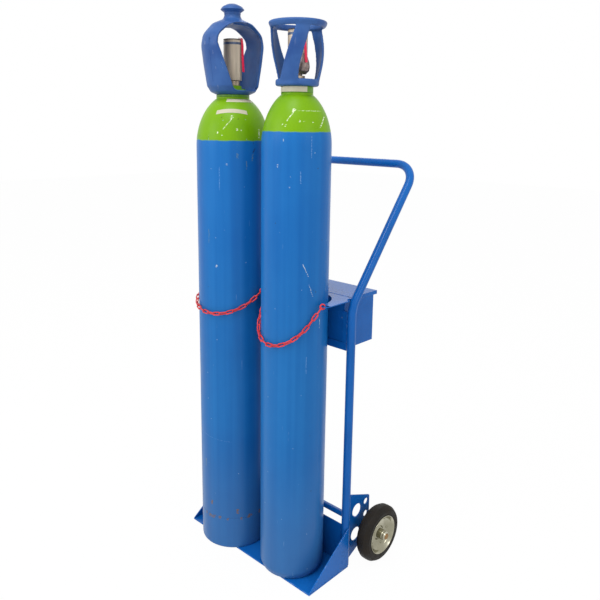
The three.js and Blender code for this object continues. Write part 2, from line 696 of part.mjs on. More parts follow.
const lidFront = HINGE_Y + lidGap;
const lidTop = hingeZ + LID_SHEET;
const lid = cut(
  boxBetween([-LID_HALF_WIDTH, lidFront, lidTop - LID_LIP], [LID_HALF_WIDTH, LID_REAR_Y, lidTop]),
  boxBetween(
    [-LID_HALF_WIDTH + SHEET, lidFront - OPEN_CUT, lidTop - LID_LIP - OPEN_CUT],
    [LID_HALF_WIDTH - SHEET, LID_REAR_Y - SHEET, hingeZ],
  ),
);
addPiece(cart, 'lid', lid, BLUE_PAINT);

// Chains: round links, each turned a quarter from the last, with a ring through the horn at each end

function linkStations(centre, along, across) {
  const endRadius = LINK_WIDTH / 2 - LINK_WIRE_RADIUS;
  const straight = LINK_LENGTH / 2 - LINK_WIDTH / 2;
  const back = along.clone().negate();
  const ahead = centre.clone().addScaledVector(along, straight);
  const behind = centre.clone().addScaledVector(along, -straight);
  const down = across.clone().negate();
  return [
    ...arcPoints(ahead, endRadius, down, along, Math.PI, LINK_END_STEPS),
    ...arcPoints(behind, endRadius, across, back, Math.PI, LINK_END_STEPS),
  ];
}

function tangentAngle(centre, point, radius, turn) {
  const offset = point.clone().sub(centre);
  return offset.angle() + turn * Math.acos(radius / offset.length());
}

// The chain leaves each eye straight for the bottle, follows its front and sags to its lowest point.
function chainRoute(bottle, startEye, endEye, lowShare, lowZ) {
  const axis = new THREE.Vector2(bottle.x, bottle.y);
  const radius = bottle.radius + CHAIN_STAND_OFF;
  const startAngle = tangentAngle(axis, startEye, radius, -1);
  const endAngle = tangentAngle(axis, endEye, radius, 1) - 2 * Math.PI;
  const sweep = endAngle - (startAngle > Math.PI ? startAngle - 2 * Math.PI : startAngle);
  const onBottle = Array.from({ length: ROUTE_STEPS + 1 }, (_, i) => {
    const angle = startAngle + (sweep * i) / ROUTE_STEPS;
    return new THREE.Vector2(axis.x + radius * Math.cos(angle), axis.y + radius * Math.sin(angle));
  });
  const ringCentre = (from, next) => from.clone().add(next.clone().sub(from).setLength(END_RING_RADIUS));
  const plan = [ringCentre(startEye, onBottle[0]), ...onBottle, ringCentre(endEye, onBottle.at(-1))];
  const runs = [0];
  for (let i = 1; i < plan.length; i += 1) runs.push(runs[i - 1] + plan[i].distanceTo(plan[i - 1]));
  const whole = runs[runs.length - 1];
  const topZ = CRADLE_TOP_Z - CRADLE_THICKNESS / 2;
  const points = plan.map((point, i) => {
    const share = runs[i] / whole;
    const reach = share < lowShare ? lowShare : 1 - lowShare;
    const rise = (share - lowShare) / reach;
    return new THREE.Vector3(point.x, point.y, lowZ + (topZ - lowZ) * rise * rise);
  });
  return new THREE.CatmullRomCurve3(points);
}

function chain(bottle, startEye, endEye, lowShare, lowZ) {
  const route = chainRoute(bottle, startEye, endEye, lowShare, lowZ);
  const length = route.getLength();
  const firstLink = END_RING_RADIUS + LINK_LENGTH / 2 - 3 * LINK_WIRE_RADIUS + LINK_BITE;
  const links = 1 + Math.round((length - 2 * firstLink) / LINK_PITCH);
  const pitch = (length - 2 * firstLink) / (links - 1);
  const wires = [];
  const addWire = (stations, planeNormal) => {
    wires.push(skin(roundRings(stations, planeNormal, LINK_WIRE_RADIUS, LINK_WIRE_SIDES, true), true));
  };
  for (const end of [0, 1]) {
    const along = route.getTangentAt(end);
    const planeNormal = along.clone().cross(Z_AXIS).normalize();
    const up = planeNormal.clone().cross(along);
    const ring = arcPoints(route.getPointAt(end), END_RING_RADIUS, along, up, 2 * Math.PI, END_RING_STEPS);
    addWire(ring.slice(0, -1), planeNormal);
  }
  for (let i = 0; i < links; i += 1) {
    const share = (firstLink + i * pitch) / length;
    const centre = route.getPointAt(share);
    const along = route.getTangentAt(share);
    const outward = new THREE.Vector3(centre.x - bottle.x, centre.y - bottle.y, 0);
    outward.addScaledVector(along, -outward.dot(along)).normalize();
    const twist = i % 2 === 0 ? Math.PI / 4 : -Math.PI / 4;
    const across = outward.clone().applyAxisAngle(along, twist);
    addWire(linkStations(centre, along, across), along.clone().cross(across));
  }
  return join(...wires);
}

const leftChain = chain(LEFT_BOTTLE, leftTongueEye, leftHornEye, LEFT_CHAIN_LOW_SHARE, LEFT_CHAIN_LOW_Z);
const rightChain = chain(
  RIGHT_BOTTLE,
  rightHornEye,
  rightTongueEye,
  RIGHT_CHAIN_LOW_SHARE,
  RIGHT_CHAIN_LOW_Z,
);
addPiece(cart, 'chain_left', leftChain, CHAIN_RED);
addPiece(cart, 'chain_right', rightChain, CHAIN_RED);

// Bottles: seamless steel shells with a necked shoulder and a threaded spigot

// The shoulder as a quarter ellipse that sinks into the neck, for an outer or inner wall.
function shoulderPoints(bottle, inset, steps) {
  const spring = bottle.neckZ - SHOULDER_DROP;
  const radius = bottle.radius - inset;
  const neck = inset > 0 ? BORE_RADIUS : bottle.neckRadius;
  const height = SHOULDER_DROP + SHOULDER_OVERRISE - inset;
  const last = Math.acos((neck + BOTTLE_WALL / 2) / radius);
  return Array.from({ length: steps + 1 }, (_, i) => {
    const angle = (last * i) / steps;
    return [radius * Math.cos(angle), spring + height * Math.sin(angle)];
  });
}

function bottleShell(bottle, footPoints, innerFootPoints) {
  const { neckRadius, neckZ } = bottle;
  const outer = shoulderPoints(bottle, 0, SHOULDER_STEPS);
  const inner = shoulderPoints(bottle, BOTTLE_WALL, INNER_SHOULDER_STEPS).reverse();
  const spigotTop = neckZ + SPIGOT_HEIGHT;
  return turned(
    [
      ...footPoints,
      ...outer,
      [neckRadius, neckZ - NECK_HEIGHT],
      [neckRadius, neckZ],
      [SPIGOT_RADIUS, neckZ],
      [SPIGOT_RADIUS, spigotTop],
      [BORE_RADIUS, spigotTop],
      ...inner,
      ...innerFootPoints,
    ],
    BOTTLE_SEGMENTS,
  );
}

const standing = TOE_PLATE_THICKNESS + WELD_GAP;
// A drawn foot with a hollow base under the right-hand bottle
const drawnFoot = [[0, 22], [76, 2], [88, 0], [98, 8], [102, 26]];
const drawnFootInside = [[96, 34], [80, 15], [0, 30]];
// A round bottom that stands in a shrunk-on foot ring under the left-hand bottle
const seam = FOOT_RING_HEIGHT + WELD_GAP;
const roundFoot = [[0, 20], [56, 29], [94, 60], [108, FOOT_RING_HEIGHT], [LEFT_BOTTLE.radius, seam]];
const roundFootInside = [[108.5, FOOT_RING_HEIGHT + 8], [88, 68], [0, 29]];
const raised = (points) => points.map(([radius, height]) => [radius, height + standing]);

// Neck ring: the flange that shows under the guard and the thread that the guard screws on to
function neckRing({ neckRadius, neckZ }, flangeHeight, threadHeight) {
  const bore = SPIGOT_RADIUS + NECK_RING_CLEARANCE;
  const low = neckZ + WELD_GAP;
  const shelf = neckZ + flangeHeight;
  return turned(
    [
      [bore, low],
      [neckRadius, low],
      [neckRadius, shelf],
      [THREAD_RADIUS, shelf],
      [THREAD_RADIUS, shelf + threadHeight],
      [bore, shelf + threadHeight],
      [bore, low],
    ],
    VALVE_SEGMENTS,
  );
}

// Valve body: a tapered stem in the bottle's bore, a wrench collar and a post up into the sleeve
function valveBody({ neckZ }, collarTop, postTop) {
  const seat = neckZ + SPIGOT_HEIGHT + WELD_GAP;
  const stemRadius = BORE_RADIUS - 2 * WELD_GAP;
  return turned(
    [
      [0, seat - STEM_LENGTH],
      [stemRadius - STEM_TAPER, seat - STEM_LENGTH],
      [stemRadius, seat],
      [WRENCH_COLLAR_RADIUS, seat],
      [WRENCH_COLLAR_RADIUS, collarTop],
      [POST_RADIUS, collarTop],
      [POST_RADIUS, postTop],
      [0, postTop],
    ],
    VALVE_SEGMENTS,
  );
}

function valveSleeve(low, high) {
  const inside = SLEEVE_RADIUS - SLEEVE_WALL;
  return turned(
    [
      [inside, low],
      [SLEEVE_RADIUS, low],
      [SLEEVE_RADIUS, high - SLEEVE_ROUNDING],
      [SLEEVE_RADIUS - SLEEVE_ROUNDING / 3, high - SLEEVE_ROUNDING / 3],
      [SLEEVE_RADIUS - SLEEVE_ROUNDING, high],
      [0, high],
      [0, high - SLEEVE_WALL],
      [inside, high - SLEEVE_ROUNDING],
      [inside, low],
    ],
    VALVE_SEGMENTS,
  );
}

// A thin pull strip laid against the sleeve, with its tail lifting off
function sealStrip(angle, low, high) {
  const outward = new THREE.Vector3(Math.cos(angle), Math.sin(angle), 0);
  const across = new THREE.Vector3(-Math.sin(angle), Math.cos(angle), 0);
  const steps = 6;
  const rings = Array.from({ length: steps + 1 }, (_, i) => {
    const share = i / steps;
    const inner = SLEEVE_RADIUS + WELD_GAP + STRIP_TAIL_LIFT * (1 - share) ** 3;
    const outer = inner + STRIP_THICKNESS;
    const at = (out, side) => new THREE.Vector3(0, 0, low + (high - low) * share)
      .addScaledVector(outward, out)
      .addScaledVector(across, side * STRIP_HALF_WIDTH);
    return [at(inner, -1), at(outer, -1), at(outer, 1), at(inner, 1)];
  });
  return skin(rings);
}

// Left valve guard: a tulip-shaped moulding with a lifting knob and two arched windows

function tulipProfile(base) {
  const bowl = [[GUARD_BORE, 0], [52, 1], [69, 9], [79, 24], [89, 90], [95, 142], [92.5, 168], [80, 190]];
  const knob = [[54, 213], [28, 223], [25.5, 238], [35, 251], [28, 260], [0, 268]];
  const inside = [[0, 207], [56, 199], [83, 169], [87.5, 142], [71, 24], [63, 14], [GUARD_BORE, 14]];
  const profile = [...bowl, ...knob, ...inside, bowl[0]];
  return profile.map(([radius, height]) => [radius, base + height]);
}

// A wide window with a flat sill, one upright side, one that leans out as it rises, and a full arch over both
function tulipWindow(base, facing) {
  const [sill, cornerTop, springing, crown] = [13, 24, 150, 208];
  const [sillLeft, cornerLeft, halfWidth, cornerInset] = [20, 31, 59, 9];
  const [nearAxis, pastWall] = [42, 135];
  const archTurns = [15, 32, 50, 68, 84];
  const archFullness = 0.8;
  const rings = [];
  const level = (height, left, right) => {
    const at = (radius, degrees) => {
      const angle = facing + THREE.MathUtils.degToRad(degrees);
      return new THREE.Vector3(radius * Math.cos(angle), radius * Math.sin(angle), base + height);
    };
    const middle = (right - left) / 2;
    const outer = [at(pastWall, -left), at(pastWall, middle), at(pastWall, right)];
    rings.push([at(nearAxis, -left), ...outer, at(nearAxis, right), at(nearAxis, middle)]);
  };
  level(sill, sillLeft, halfWidth - cornerInset);
  level(cornerTop, cornerLeft, halfWidth);
  level(springing, halfWidth, halfWidth);
  for (const degrees of archTurns) {
    const turn = THREE.MathUtils.degToRad(degrees);
    const half = halfWidth * Math.cos(turn) ** archFullness;
    level(springing + (crown - springing) * Math.sin(turn) ** archFullness, half, half);
  }
  return skin(rings);
}

function tulipGuard(base, facing) {
  return cut(
    turned(tulipProfile(base), GUARD_SEGMENTS),
    tulipWindow(base, facing),
    tulipWindow(base, facing + Math.PI),
  );
}

// Right valve guard: a collar and a grip ring joined by three straps that wind round as they go down

function strap(base, facing) {
  const [low, high] = [base + 8, base + 170];
  const wind = THREE.MathUtils.degToRad(-42);
  const [halfAngle, taper, footSpread] = [15, 5, 11];
  const [footRadius, swell, fullAt, thickness] = [61, 16.5, 0.72, 7];
  const steps = 6;
  const arcs = 2;
  const rings = [];
  for (let i = 0; i <= steps; i += 1) {
    const share = i / steps;
    const down = 1 - share;
    const half = THREE.MathUtils.degToRad(halfAngle + taper * down + footSpread * down ** 6);
    const middle = facing + wind * down;
    const outer = footRadius + swell * Math.sin((Math.PI / 2) * Math.min(share / fullAt, 1));
    const inner = outer - thickness;
    const z = low + (high - low) * share;
    const at = (radius, turn) => new THREE.Vector3(
      radius * Math.cos(middle + turn),
      radius * Math.sin(middle + turn),
      z,
    );
    const turns = Array.from({ length: arcs + 1 }, (_, j) => -half + (2 * half * j) / arcs);
    const outerEdge = turns.map((turn) => at(outer, turn));
    const innerEdge = turns.map((turn) => at(inner, turn)).reverse();
    rings.push([...outerEdge, ...innerEdge]);
  }
  return skin(rings);
}

function ringGuard(base, facing) {
  const raisedRing = (profile) => (
    turned(profile.map(([radius, height]) => [radius, base + height]), GUARD_SEGMENTS)
  );
  const collar = raisedRing([
    [GUARD_BORE, 0], [58, 0], [61.8, 4], [61.8, 15], [59, 19], [48, 19], [GUARD_BORE, 16], [GUARD_BORE, 0],
  ]);
  const grip = raisedRing([
    [64, 158], [74, 155], [80, 160], [81.5, 167], [79, 173], [72, 176], [65, 173], [64, 158],
  ]);
  const third = (2 * Math.PI) / 3;
  const straps = [-third, 0, third].map((turn) => strap(base, facing + turn));
  return join(collar, grip, ...straps);
}

// The pear-shaped outlet cover beside the right-hand valve, hollowed where it meets the post
function outletCover() {
  const profile = [[0, 0], [9, 2], [16, 9], [20, 21], [20, 35], [15, 43], [0, 44]];
  const pear = turned(profile, VALVE_SEGMENTS).translate(
    OUTLET_REACH * Math.cos(OUTLET_ANGLE),
    OUTLET_REACH * Math.sin(OUTLET_ANGLE),
    OUTLET_LOW_Z,
  );
  const post = rodProfile(POST_RADIUS + WELD_GAP, RIGHT_BOTTLE.neckZ, RIGHT_SLEEVE_TOP_Z);
  return cut(pear, turned(post, VALVE_SEGMENTS));
}

const leftBottle = new THREE.Group();
leftBottle.position.set(LEFT_BOTTLE.x, LEFT_BOTTLE.y, 0);
const rightBottle = new THREE.Group();
rightBottle.position.set(RIGHT_BOTTLE.x, RIGHT_BOTTLE.y, 0);
cart.add(leftBottle, rightBottle);

const leftShell = bottleShell(LEFT_BOTTLE, raised(roundFoot), raised(roundFootInside));
const rightShell = bottleShell(RIGHT_BOTTLE, raised(drawnFoot), raised(drawnFootInside));
const footRing = turned(
  ringProfile(
    LEFT_BOTTLE.radius - FOOT_RING_WALL,
    LEFT_BOTTLE.radius,
    standing,
    standing + FOOT_RING_HEIGHT - WELD_GAP,
  ),
  BOTTLE_SEGMENTS,
);
addPiece(leftBottle, 'bottle_shell_left', leftShell, BOTTLE_BLUE);
addPiece(leftBottle, 'foot_ring_left', footRing, BOTTLE_BLUE);
addPiece(rightBottle, 'bottle_shell_right', rightShell, BOTTLE_BLUE);

const leftNeckRing = neckRing(LEFT_BOTTLE, LEFT_FLANGE_HEIGHT, LEFT_THREAD_HEIGHT);
const rightNeckRing = neckRing(RIGHT_BOTTLE, RIGHT_FLANGE_HEIGHT, RIGHT_THREAD_HEIGHT);
const leftGuardBase = LEFT_BOTTLE.neckZ + LEFT_FLANGE_HEIGHT + GUARD_SEAT_GAP;
const rightGuardBase = RIGHT_BOTTLE.neckZ + RIGHT_FLANGE_HEIGHT + GUARD_SEAT_GAP;
addPiece(leftBottle, 'neck_ring_left', leftNeckRing, DARK_STEEL);
addPiece(rightBottle, 'neck_ring_right', rightNeckRing, DARK_STEEL);
addPiece(leftBottle, 'valve_guard_left', tulipGuard(leftGuardBase, LEFT_WINDOW_ANGLE), GUARD_BLUE);
addPiece(rightBottle, 'valve_guard_right', ringGuard(rightGuardBase, RIGHT_STRAP_ANGLE), GUARD_BLUE);

const leftCollarTop = LEFT_SLEEVE_LOW_Z - WELD_GAP;
const leftPostTop = LEFT_SLEEVE_TOP_Z - POST_BELOW_TOP;
const rightPostTop = RIGHT_SLEEVE_TOP_Z - POST_BELOW_TOP;
const leftStrip = sealStrip(LEFT_STRIP_ANGLE, LEFT_STRIP_LOW_Z, LEFT_SLEEVE_TOP_Z - STRIP_BELOW_TOP);
const rightStrip = sealStrip(RIGHT_STRIP_ANGLE, RIGHT_STRIP_LOW_Z, RIGHT_SLEEVE_TOP_Z - STRIP_BELOW_TOP);
addPiece(leftBottle, 'valve_body_left', valveBody(LEFT_BOTTLE, leftCollarTop, leftPostTop), BRASS);
addPiece(leftBottle, 'valve_sleeve_left', valveSleeve(LEFT_SLEEVE_LOW_Z, LEFT_SLEEVE_TOP_Z), PEWTER);
addPiece(leftBottle, 'seal_strip_left', leftStrip, STRIP_RED);

addPiece(rightBottle, 'valve_body_right', valveBody(RIGHT_BOTTLE, RIGHT_COLLAR_TOP_Z, rightPostTop), BRASS);
addPiece(rightBottle, 'valve_sleeve_right', valveSleeve(RIGHT_SLEEVE_LOW_Z, RIGHT_SLEEVE_TOP_Z), PEWTER);
addPiece(rightBottle, 'seal_strip_right', rightStrip, STRIP_RED);
addPiece(rightBottle, 'outlet_cover_right', outletCover(), DARK_STEEL);

export default cart;
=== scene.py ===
# %% [markdown]
# # A welding cart with two gas bottles
#
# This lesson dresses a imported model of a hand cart: a bent pipe frame on a folded toe tray, rubber-tyred
# wheels, a scalloped cradle with red chains, a lidded tool tray and two gas bottles with valve guards.
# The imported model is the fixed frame. The pieces made here keep its places and sizes, and add rounder forms
# and real finishes. Lengths are in metres. The outlines of turned pieces and the sizes of the bottles and
# their fittings are in millimetres.

# %% Load the frame and keep its box
import math

import bmesh
import bpy
from mathutils import Matrix, Vector


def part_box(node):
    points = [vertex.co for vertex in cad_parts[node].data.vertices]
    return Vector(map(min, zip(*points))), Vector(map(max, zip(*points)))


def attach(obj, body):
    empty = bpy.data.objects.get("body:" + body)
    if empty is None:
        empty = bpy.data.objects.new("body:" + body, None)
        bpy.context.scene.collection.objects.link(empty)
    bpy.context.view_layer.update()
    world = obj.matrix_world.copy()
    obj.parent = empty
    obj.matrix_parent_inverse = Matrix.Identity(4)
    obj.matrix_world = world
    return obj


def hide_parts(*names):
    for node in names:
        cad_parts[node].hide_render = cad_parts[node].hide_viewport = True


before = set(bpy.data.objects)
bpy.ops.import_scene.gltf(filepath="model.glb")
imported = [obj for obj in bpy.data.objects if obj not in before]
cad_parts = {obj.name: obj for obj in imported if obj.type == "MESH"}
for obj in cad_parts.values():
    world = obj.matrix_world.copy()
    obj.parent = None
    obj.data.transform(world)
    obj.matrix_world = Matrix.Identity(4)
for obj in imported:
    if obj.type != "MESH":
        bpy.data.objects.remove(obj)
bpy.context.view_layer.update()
scene = bpy.context.scene
scene.view_settings.view_transform = "Standard"
MM = 0.001

# %% [markdown]
# ## Camera
#
# The photograph was taken from the front right, a little above the handle. The lens, the place and the
# slight roll were worked out from points of the cart whose sizes are known, so the pieces fall where the
# photograph shows them. The shift only moves the picture as the photograph's crop did.

# %% Place the camera
CAMERA_PLACE = Vector((1.4342, -1.3795, 1.4156))
CAMERA_YAW = math.radians(43.09)
CAMERA_PITCH = math.radians(11.3)
CAMERA_ROLL = math.radians(0.765)
FRAME_PIXELS = 600
FOCAL_PIXELS = 648.71
CENTRE_PIXEL = (298.66, 252.57)
SENSOR_WIDTH = 36


def camera_turn():
    ahead = Vector((
        -math.sin(CAMERA_YAW) * math.cos(CAMERA_PITCH),
        math.cos(CAMERA_YAW) * math.cos(CAMERA_PITCH),
        -math.sin(CAMERA_PITCH),
    ))
    right = Vector((math.cos(CAMERA_YAW), math.sin(CAMERA_YAW), 0))
    up = right.cross(ahead)
    rolled_right = right * math.cos(CAMERA_ROLL) + up * math.sin(CAMERA_ROLL)
    rolled_up = up * math.cos(CAMERA_ROLL) - right * math.sin(CAMERA_ROLL)
    return Matrix((rolled_right, rolled_up, -ahead)).transposed()


lens = bpy.data.cameras.new("photo_camera")
lens.sensor_width = SENSOR_WIDTH
lens.lens = SENSOR_WIDTH * FOCAL_PIXELS / FRAME_PIXELS
lens.shift_x = (FRAME_PIXELS / 2 - CENTRE_PIXEL[0]) / FRAME_PIXELS
lens.shift_y = (CENTRE_PIXEL[1] - FRAME_PIXELS / 2) / FRAME_PIXELS
camera = bpy.data.objects.new("photo_camera", lens)
camera.matrix_world = Matrix.Translation(CAMERA_PLACE) @ camera_turn().to_4x4()
scene.collection.objects.link(camera)
scene.camera = camera
print("lens:", round(lens.lens, 2), "mm")

# %% [markdown]
# ## Floor and light
#
# The cart stands on a plain white floor under soft light from above and in front. The world is white to the
# camera and in reflections, and dimmer as a lamp, so that a colour renders about as it is written. The floor
# is nearly white to the camera too, and still takes a little of the cart's shadow.

# %% Build the stage
WHITE = (1, 1, 1, 1)
AMBIENT = 0.78
FLOOR_GREY = (0.9, 0.9, 0.9, 1)
FLOOR_HALF = 14.0
FLOOR_DROP = 0.0006
FLOOR_GLOW_SHARE = 0.97
# Each lamp's name, place, the height on the cart that it is aimed at, its size and its watts.
LAMPS = (
    ("overhead_lamp", (0.5, -1.3, 4.0), 0.6, 1.6, 50),
    ("front_lamp", (-1.6, -4.0, 2.8), 0.9, 2.2, 52),
    ("side_lamp", (3.6, -0.4, 2.4), 0.8, 1.6, 16),
    ("back_lamp", (-2.6, 3.0, 3.2), 1.0, 2.0, 16),
)


def feed(tree, source, socket):
    if isinstance(source, bpy.types.NodeSocket):
        tree.links.new(source, socket)
    else:
        socket.default_value = source


def add_node(tree, kind, **values):
    """Adds a node. A capitalised name is one of its sockets, and any other name one of its settings."""
    made = tree.nodes.new(kind)
    for name, value in values.items():
        if name[0].isupper():
            feed(tree, value, made.inputs[name.replace("_", " ")])
        else:
            setattr(made, name, value)
    return made


def compute(tree, operation, first, second=0.0, kind="ShaderNodeMath"):
    made = add_node(tree, kind, operation=operation)
    feed(tree, first, made.inputs[0])
    feed(tree, second, made.inputs[1])
    return made.outputs[0]


def times(tree, first, second):
    return compute(tree, "MULTIPLY", first, second)


def show_by_ray(tree, share, lighting, seen, output):
    """Shows one shader to the camera and in reflections, by a share, and lights the cart with the other."""
    rays = add_node(tree, "ShaderNodeLightPath").outputs
    through = compute(tree, "MAXIMUM", rays["Is Glossy Ray"], rays["Is Transmission Ray"])
    direct = compute(tree, "MAXIMUM", rays["Is Camera Ray"], through)
    mixed = add_node(tree, "ShaderNodeMixShader")
    feed(tree, times(tree, direct, share), mixed.inputs[0])
    feed(tree, lighting.outputs[0], mixed.inputs[1])
    feed(tree, seen.outputs[0], mixed.inputs[2])
    feed(tree, mixed.outputs[0], add_node(tree, output).inputs[0])


def build_world():
    world = bpy.data.worlds.new("studio")
    world.use_nodes = True
    tree = world.node_tree
    tree.nodes.clear()
    dim = add_node(tree, "ShaderNodeBackground", Color=WHITE, Strength=AMBIENT)
    white = add_node(tree, "ShaderNodeBackground", Color=WHITE, Strength=1.0)
    show_by_ray(tree, 1.0, dim, white, "ShaderNodeOutputWorld")
    scene.world = world


def floor_material():
    material = bpy.data.materials.new("pale_floor")
    material.use_nodes = True
    tree = material.node_tree
    tree.nodes.clear()
    matt = add_node(tree, "ShaderNodeBsdfDiffuse", Color=FLOOR_GREY)
    glow = add_node(tree, "ShaderNodeEmission")
    show_by_ray(tree, FLOOR_GLOW_SHARE, matt, glow, "ShaderNodeOutputMaterial")
    return material


def build_floor():
    mesh = bpy.data.meshes.new("floor")
    corners = [(-1, -1), (1, -1), (1, 1), (-1, 1)]
    verts = [(x * FLOOR_HALF, y * FLOOR_HALF, -FLOOR_DROP) for x, y in corners]
    mesh.from_pydata(verts, [], [(0, 1, 2, 3)])
    mesh.materials.append(floor_material())
    floor = bpy.data.objects.new("floor", mesh)
    scene.collection.objects.link(floor)


def soft_lamp(name, place, aim_height, size, watts):
    data = bpy.data.lights.new(name, "AREA")
    data.shape = "DISK"
    data.size = size
    data.energy = watts
    lamp = bpy.data.objects.new(name, data)
    direction = Vector((0, 0, aim_height)) - Vector(place)
    turn = direction.to_track_quat("-Z", "Y").to_matrix().to_4x4()
    lamp.matrix_world = Matrix.Translation(place) @ turn
    scene.collection.objects.link(lamp)


build_world()
build_floor()
for lamp_values in LAMPS:
    soft_lamp(*lamp_values)
print("stage: white world,", AMBIENT, "ambient,", len(LAMPS), "soft lamps")

# %% [markdown]
# ## Finishes: shared effects
#
# Painted sheet, sprayed bottles and moulded plastic share a few effects: slow changes of shade, tiny
# specks, hair scratches and worn edges. Each is a node group with named inputs, made once here and placed
# in the materials with their own values. The groups put out masks and heights, and the shader itself
# stays in each material, which also keeps its plain numbers on the shader's own sockets.

# %% Build the effect groups
PATCH_SCALE = 5.0
WORN_AND_HIGHLIT_START = 0.75
WORN_AND_HIGHLIT_BLUR = 0.15


def effect_group(name, numbers, outputs, vectors=("Vector",)):
    """A shader group with the named vectors and numbers as inputs, and masks or heights as outputs."""
    group = bpy.data.node_groups.new(name, "ShaderNodeTree")
    sockets = [(label, "INPUT", "NodeSocketVector") for label in vectors]
    sockets += [(label, "INPUT", "NodeSocketFloat") for label in numbers]
    sockets += [(label, "OUTPUT", "NodeSocketFloat") for label in outputs]
    for label, direction, kind in sockets:
        group.interface.new_socket(label, in_out=direction, socket_type=kind)
    return group, group.nodes.new("NodeGroupInput").outputs, group.nodes.new("NodeGroupOutput").inputs


def noise(tree, vector, scale, detail=3.0, roughness=0.55):
    made = add_node(
        tree, "ShaderNodeTexNoise", Vector=vector, Scale=scale, Detail=detail, Roughness=roughness,
    )
    return made.outputs["Fac"]


def spread(tree, value, low, high, to_low=0.0, to_high=1.0):
    """Turns a range of values into another one with soft ends."""
    made = add_node(tree, "ShaderNodeMapRange", interpolation_type="SMOOTHSTEP")
    for socket, source in zip(made.inputs, (value, low, high, to_low, to_high)):
        feed(tree, source, socket)
    return made.outputs[0]


def vector_math(tree, operation, first, second):
    return compute(tree, operation, first, second, "ShaderNodeVectorMath")


def mottling_group():
    group, given, result = effect_group("Slow mottling", ["Scale", "Peel scale"], ["Shade", "Peel"])
    slow = noise(group, given["Vector"], given["Scale"], detail=4.0)
    feed(group, spread(group, slow, 0.3, 0.7), result["Shade"])
    feed(group, noise(group, given["Vector"], given["Peel scale"], detail=1.0), result["Peel"])
    return group


def speck_group():
    """Specks in some of the cells of a pattern, with outlines made ragged by a noise four times as fine."""
    group, given, result = effect_group("Specks", ["Scale", "Share", "Size"], ["Mask"])
    cells = add_node(group, "ShaderNodeTexVoronoi", Vector=given["Vector"], Scale=given["Scale"])
    pick = add_node(group, "ShaderNodeSeparateColor", Color=cells.outputs["Color"])
    chosen = compute(group, "LESS_THAN", pick.outputs[0], given["Share"])
    ragged = noise(group, given["Vector"], times(group, given["Scale"], 4.0))
    reach = times(group, given["Size"], times(group, ragged, 2.0))
    near = compute(group, "LESS_THAN", cells.outputs["Distance"], reach)
    feed(group, times(group, chosen, near), result["Mask"])
    return group


def scratch_group():
    """Hair lines in some patches: the peaks of a noise that is stretched along one axis more than another."""
    group, given, result = effect_group("Hair scratches", ["Threshold"], ["Mask"], ["Vector", "Stretch"])
    stretched = vector_math(group, "MULTIPLY", given["Vector"], given["Stretch"])
    lines = noise(group, stretched, 1.0, detail=2.0, roughness=0.6)
    patches = noise(group, given["Vector"], PATCH_SCALE, detail=2.0)
    sharp = compute(group, "GREATER_THAN", lines, given["Threshold"])
    feed(group, times(group, sharp, spread(group, patches, 0.45, 0.62)), result["Mask"])
    return group


def worn_and_highlit_edges_group():
    """Pale patches on the edges the shapes mark with an attribute, partly rubbed paint and partly painted
    highlight.
    """
    group, given, result = effect_group("Worn and highlit edges", ["Scale", "Amount"], ["Mask"])
    edge = add_node(group, "ShaderNodeAttribute", attribute_name="eased_edge")
    pale_patches = noise(group, given["Vector"], given["Scale"], detail=4.0, roughness=0.65)
    low = compute(group, "SUBTRACT", WORN_AND_HIGHLIT_START, given["Amount"])
    mask = spread(group, pale_patches, low, compute(group, "ADD", low, WORN_AND_HIGHLIT_BLUR))
    feed(group, times(group, mask, edge.outputs["Fac"]), result["Mask"])
    return group


MOTTLING = mottling_group()
SPECKS = speck_group()
SCRATCHES = scratch_group()
WORN_AND_HIGHLIT_EDGES = worn_and_highlit_edges_group()
print("effects:", [group.name for group in (MOTTLING, SPECKS, SCRATCHES, WORN_AND_HIGHLIT_EDGES)])

# %% [markdown]
# ## Finishes: paint, plastic, metal and rubber
#
# Colours are written as they look on screen, in 0 to 255, and turned into the linear values that a shader
# takes. Every finish starts from the same small set-up: a mottled ground colour and a fine skin that breaks
# up reflections. What the real surface shows is then laid over it: chips and rubbed edges on the enamel,
# overspray and rust on the bottles, scuffs on the mouldings and dust on rubber. The pale edges are partly
# rubbed paint and partly a painted highlight along the edges, and the bottles' shoulders also get painted
# highlights where lamps reflect in the gloss.


# %% Set up the finishes
def linear(red, green, blue):
    def one(value):
        share = value / 255
        return share / 12.92 if share <= 0.04045 else ((share + 0.055) / 1.055) ** 2.4
    return (one(red), one(green), one(blue), 1)


def blend_colour(tree, factor, first, second):
    made = add_node(tree, "ShaderNodeMix", data_type="RGBA")
    feed(tree, factor, made.inputs[0])
    feed(tree, first, made.inputs[6])
    feed(tree, second, made.inputs[7])
    return made.outputs[2]


DULLING = 0.2


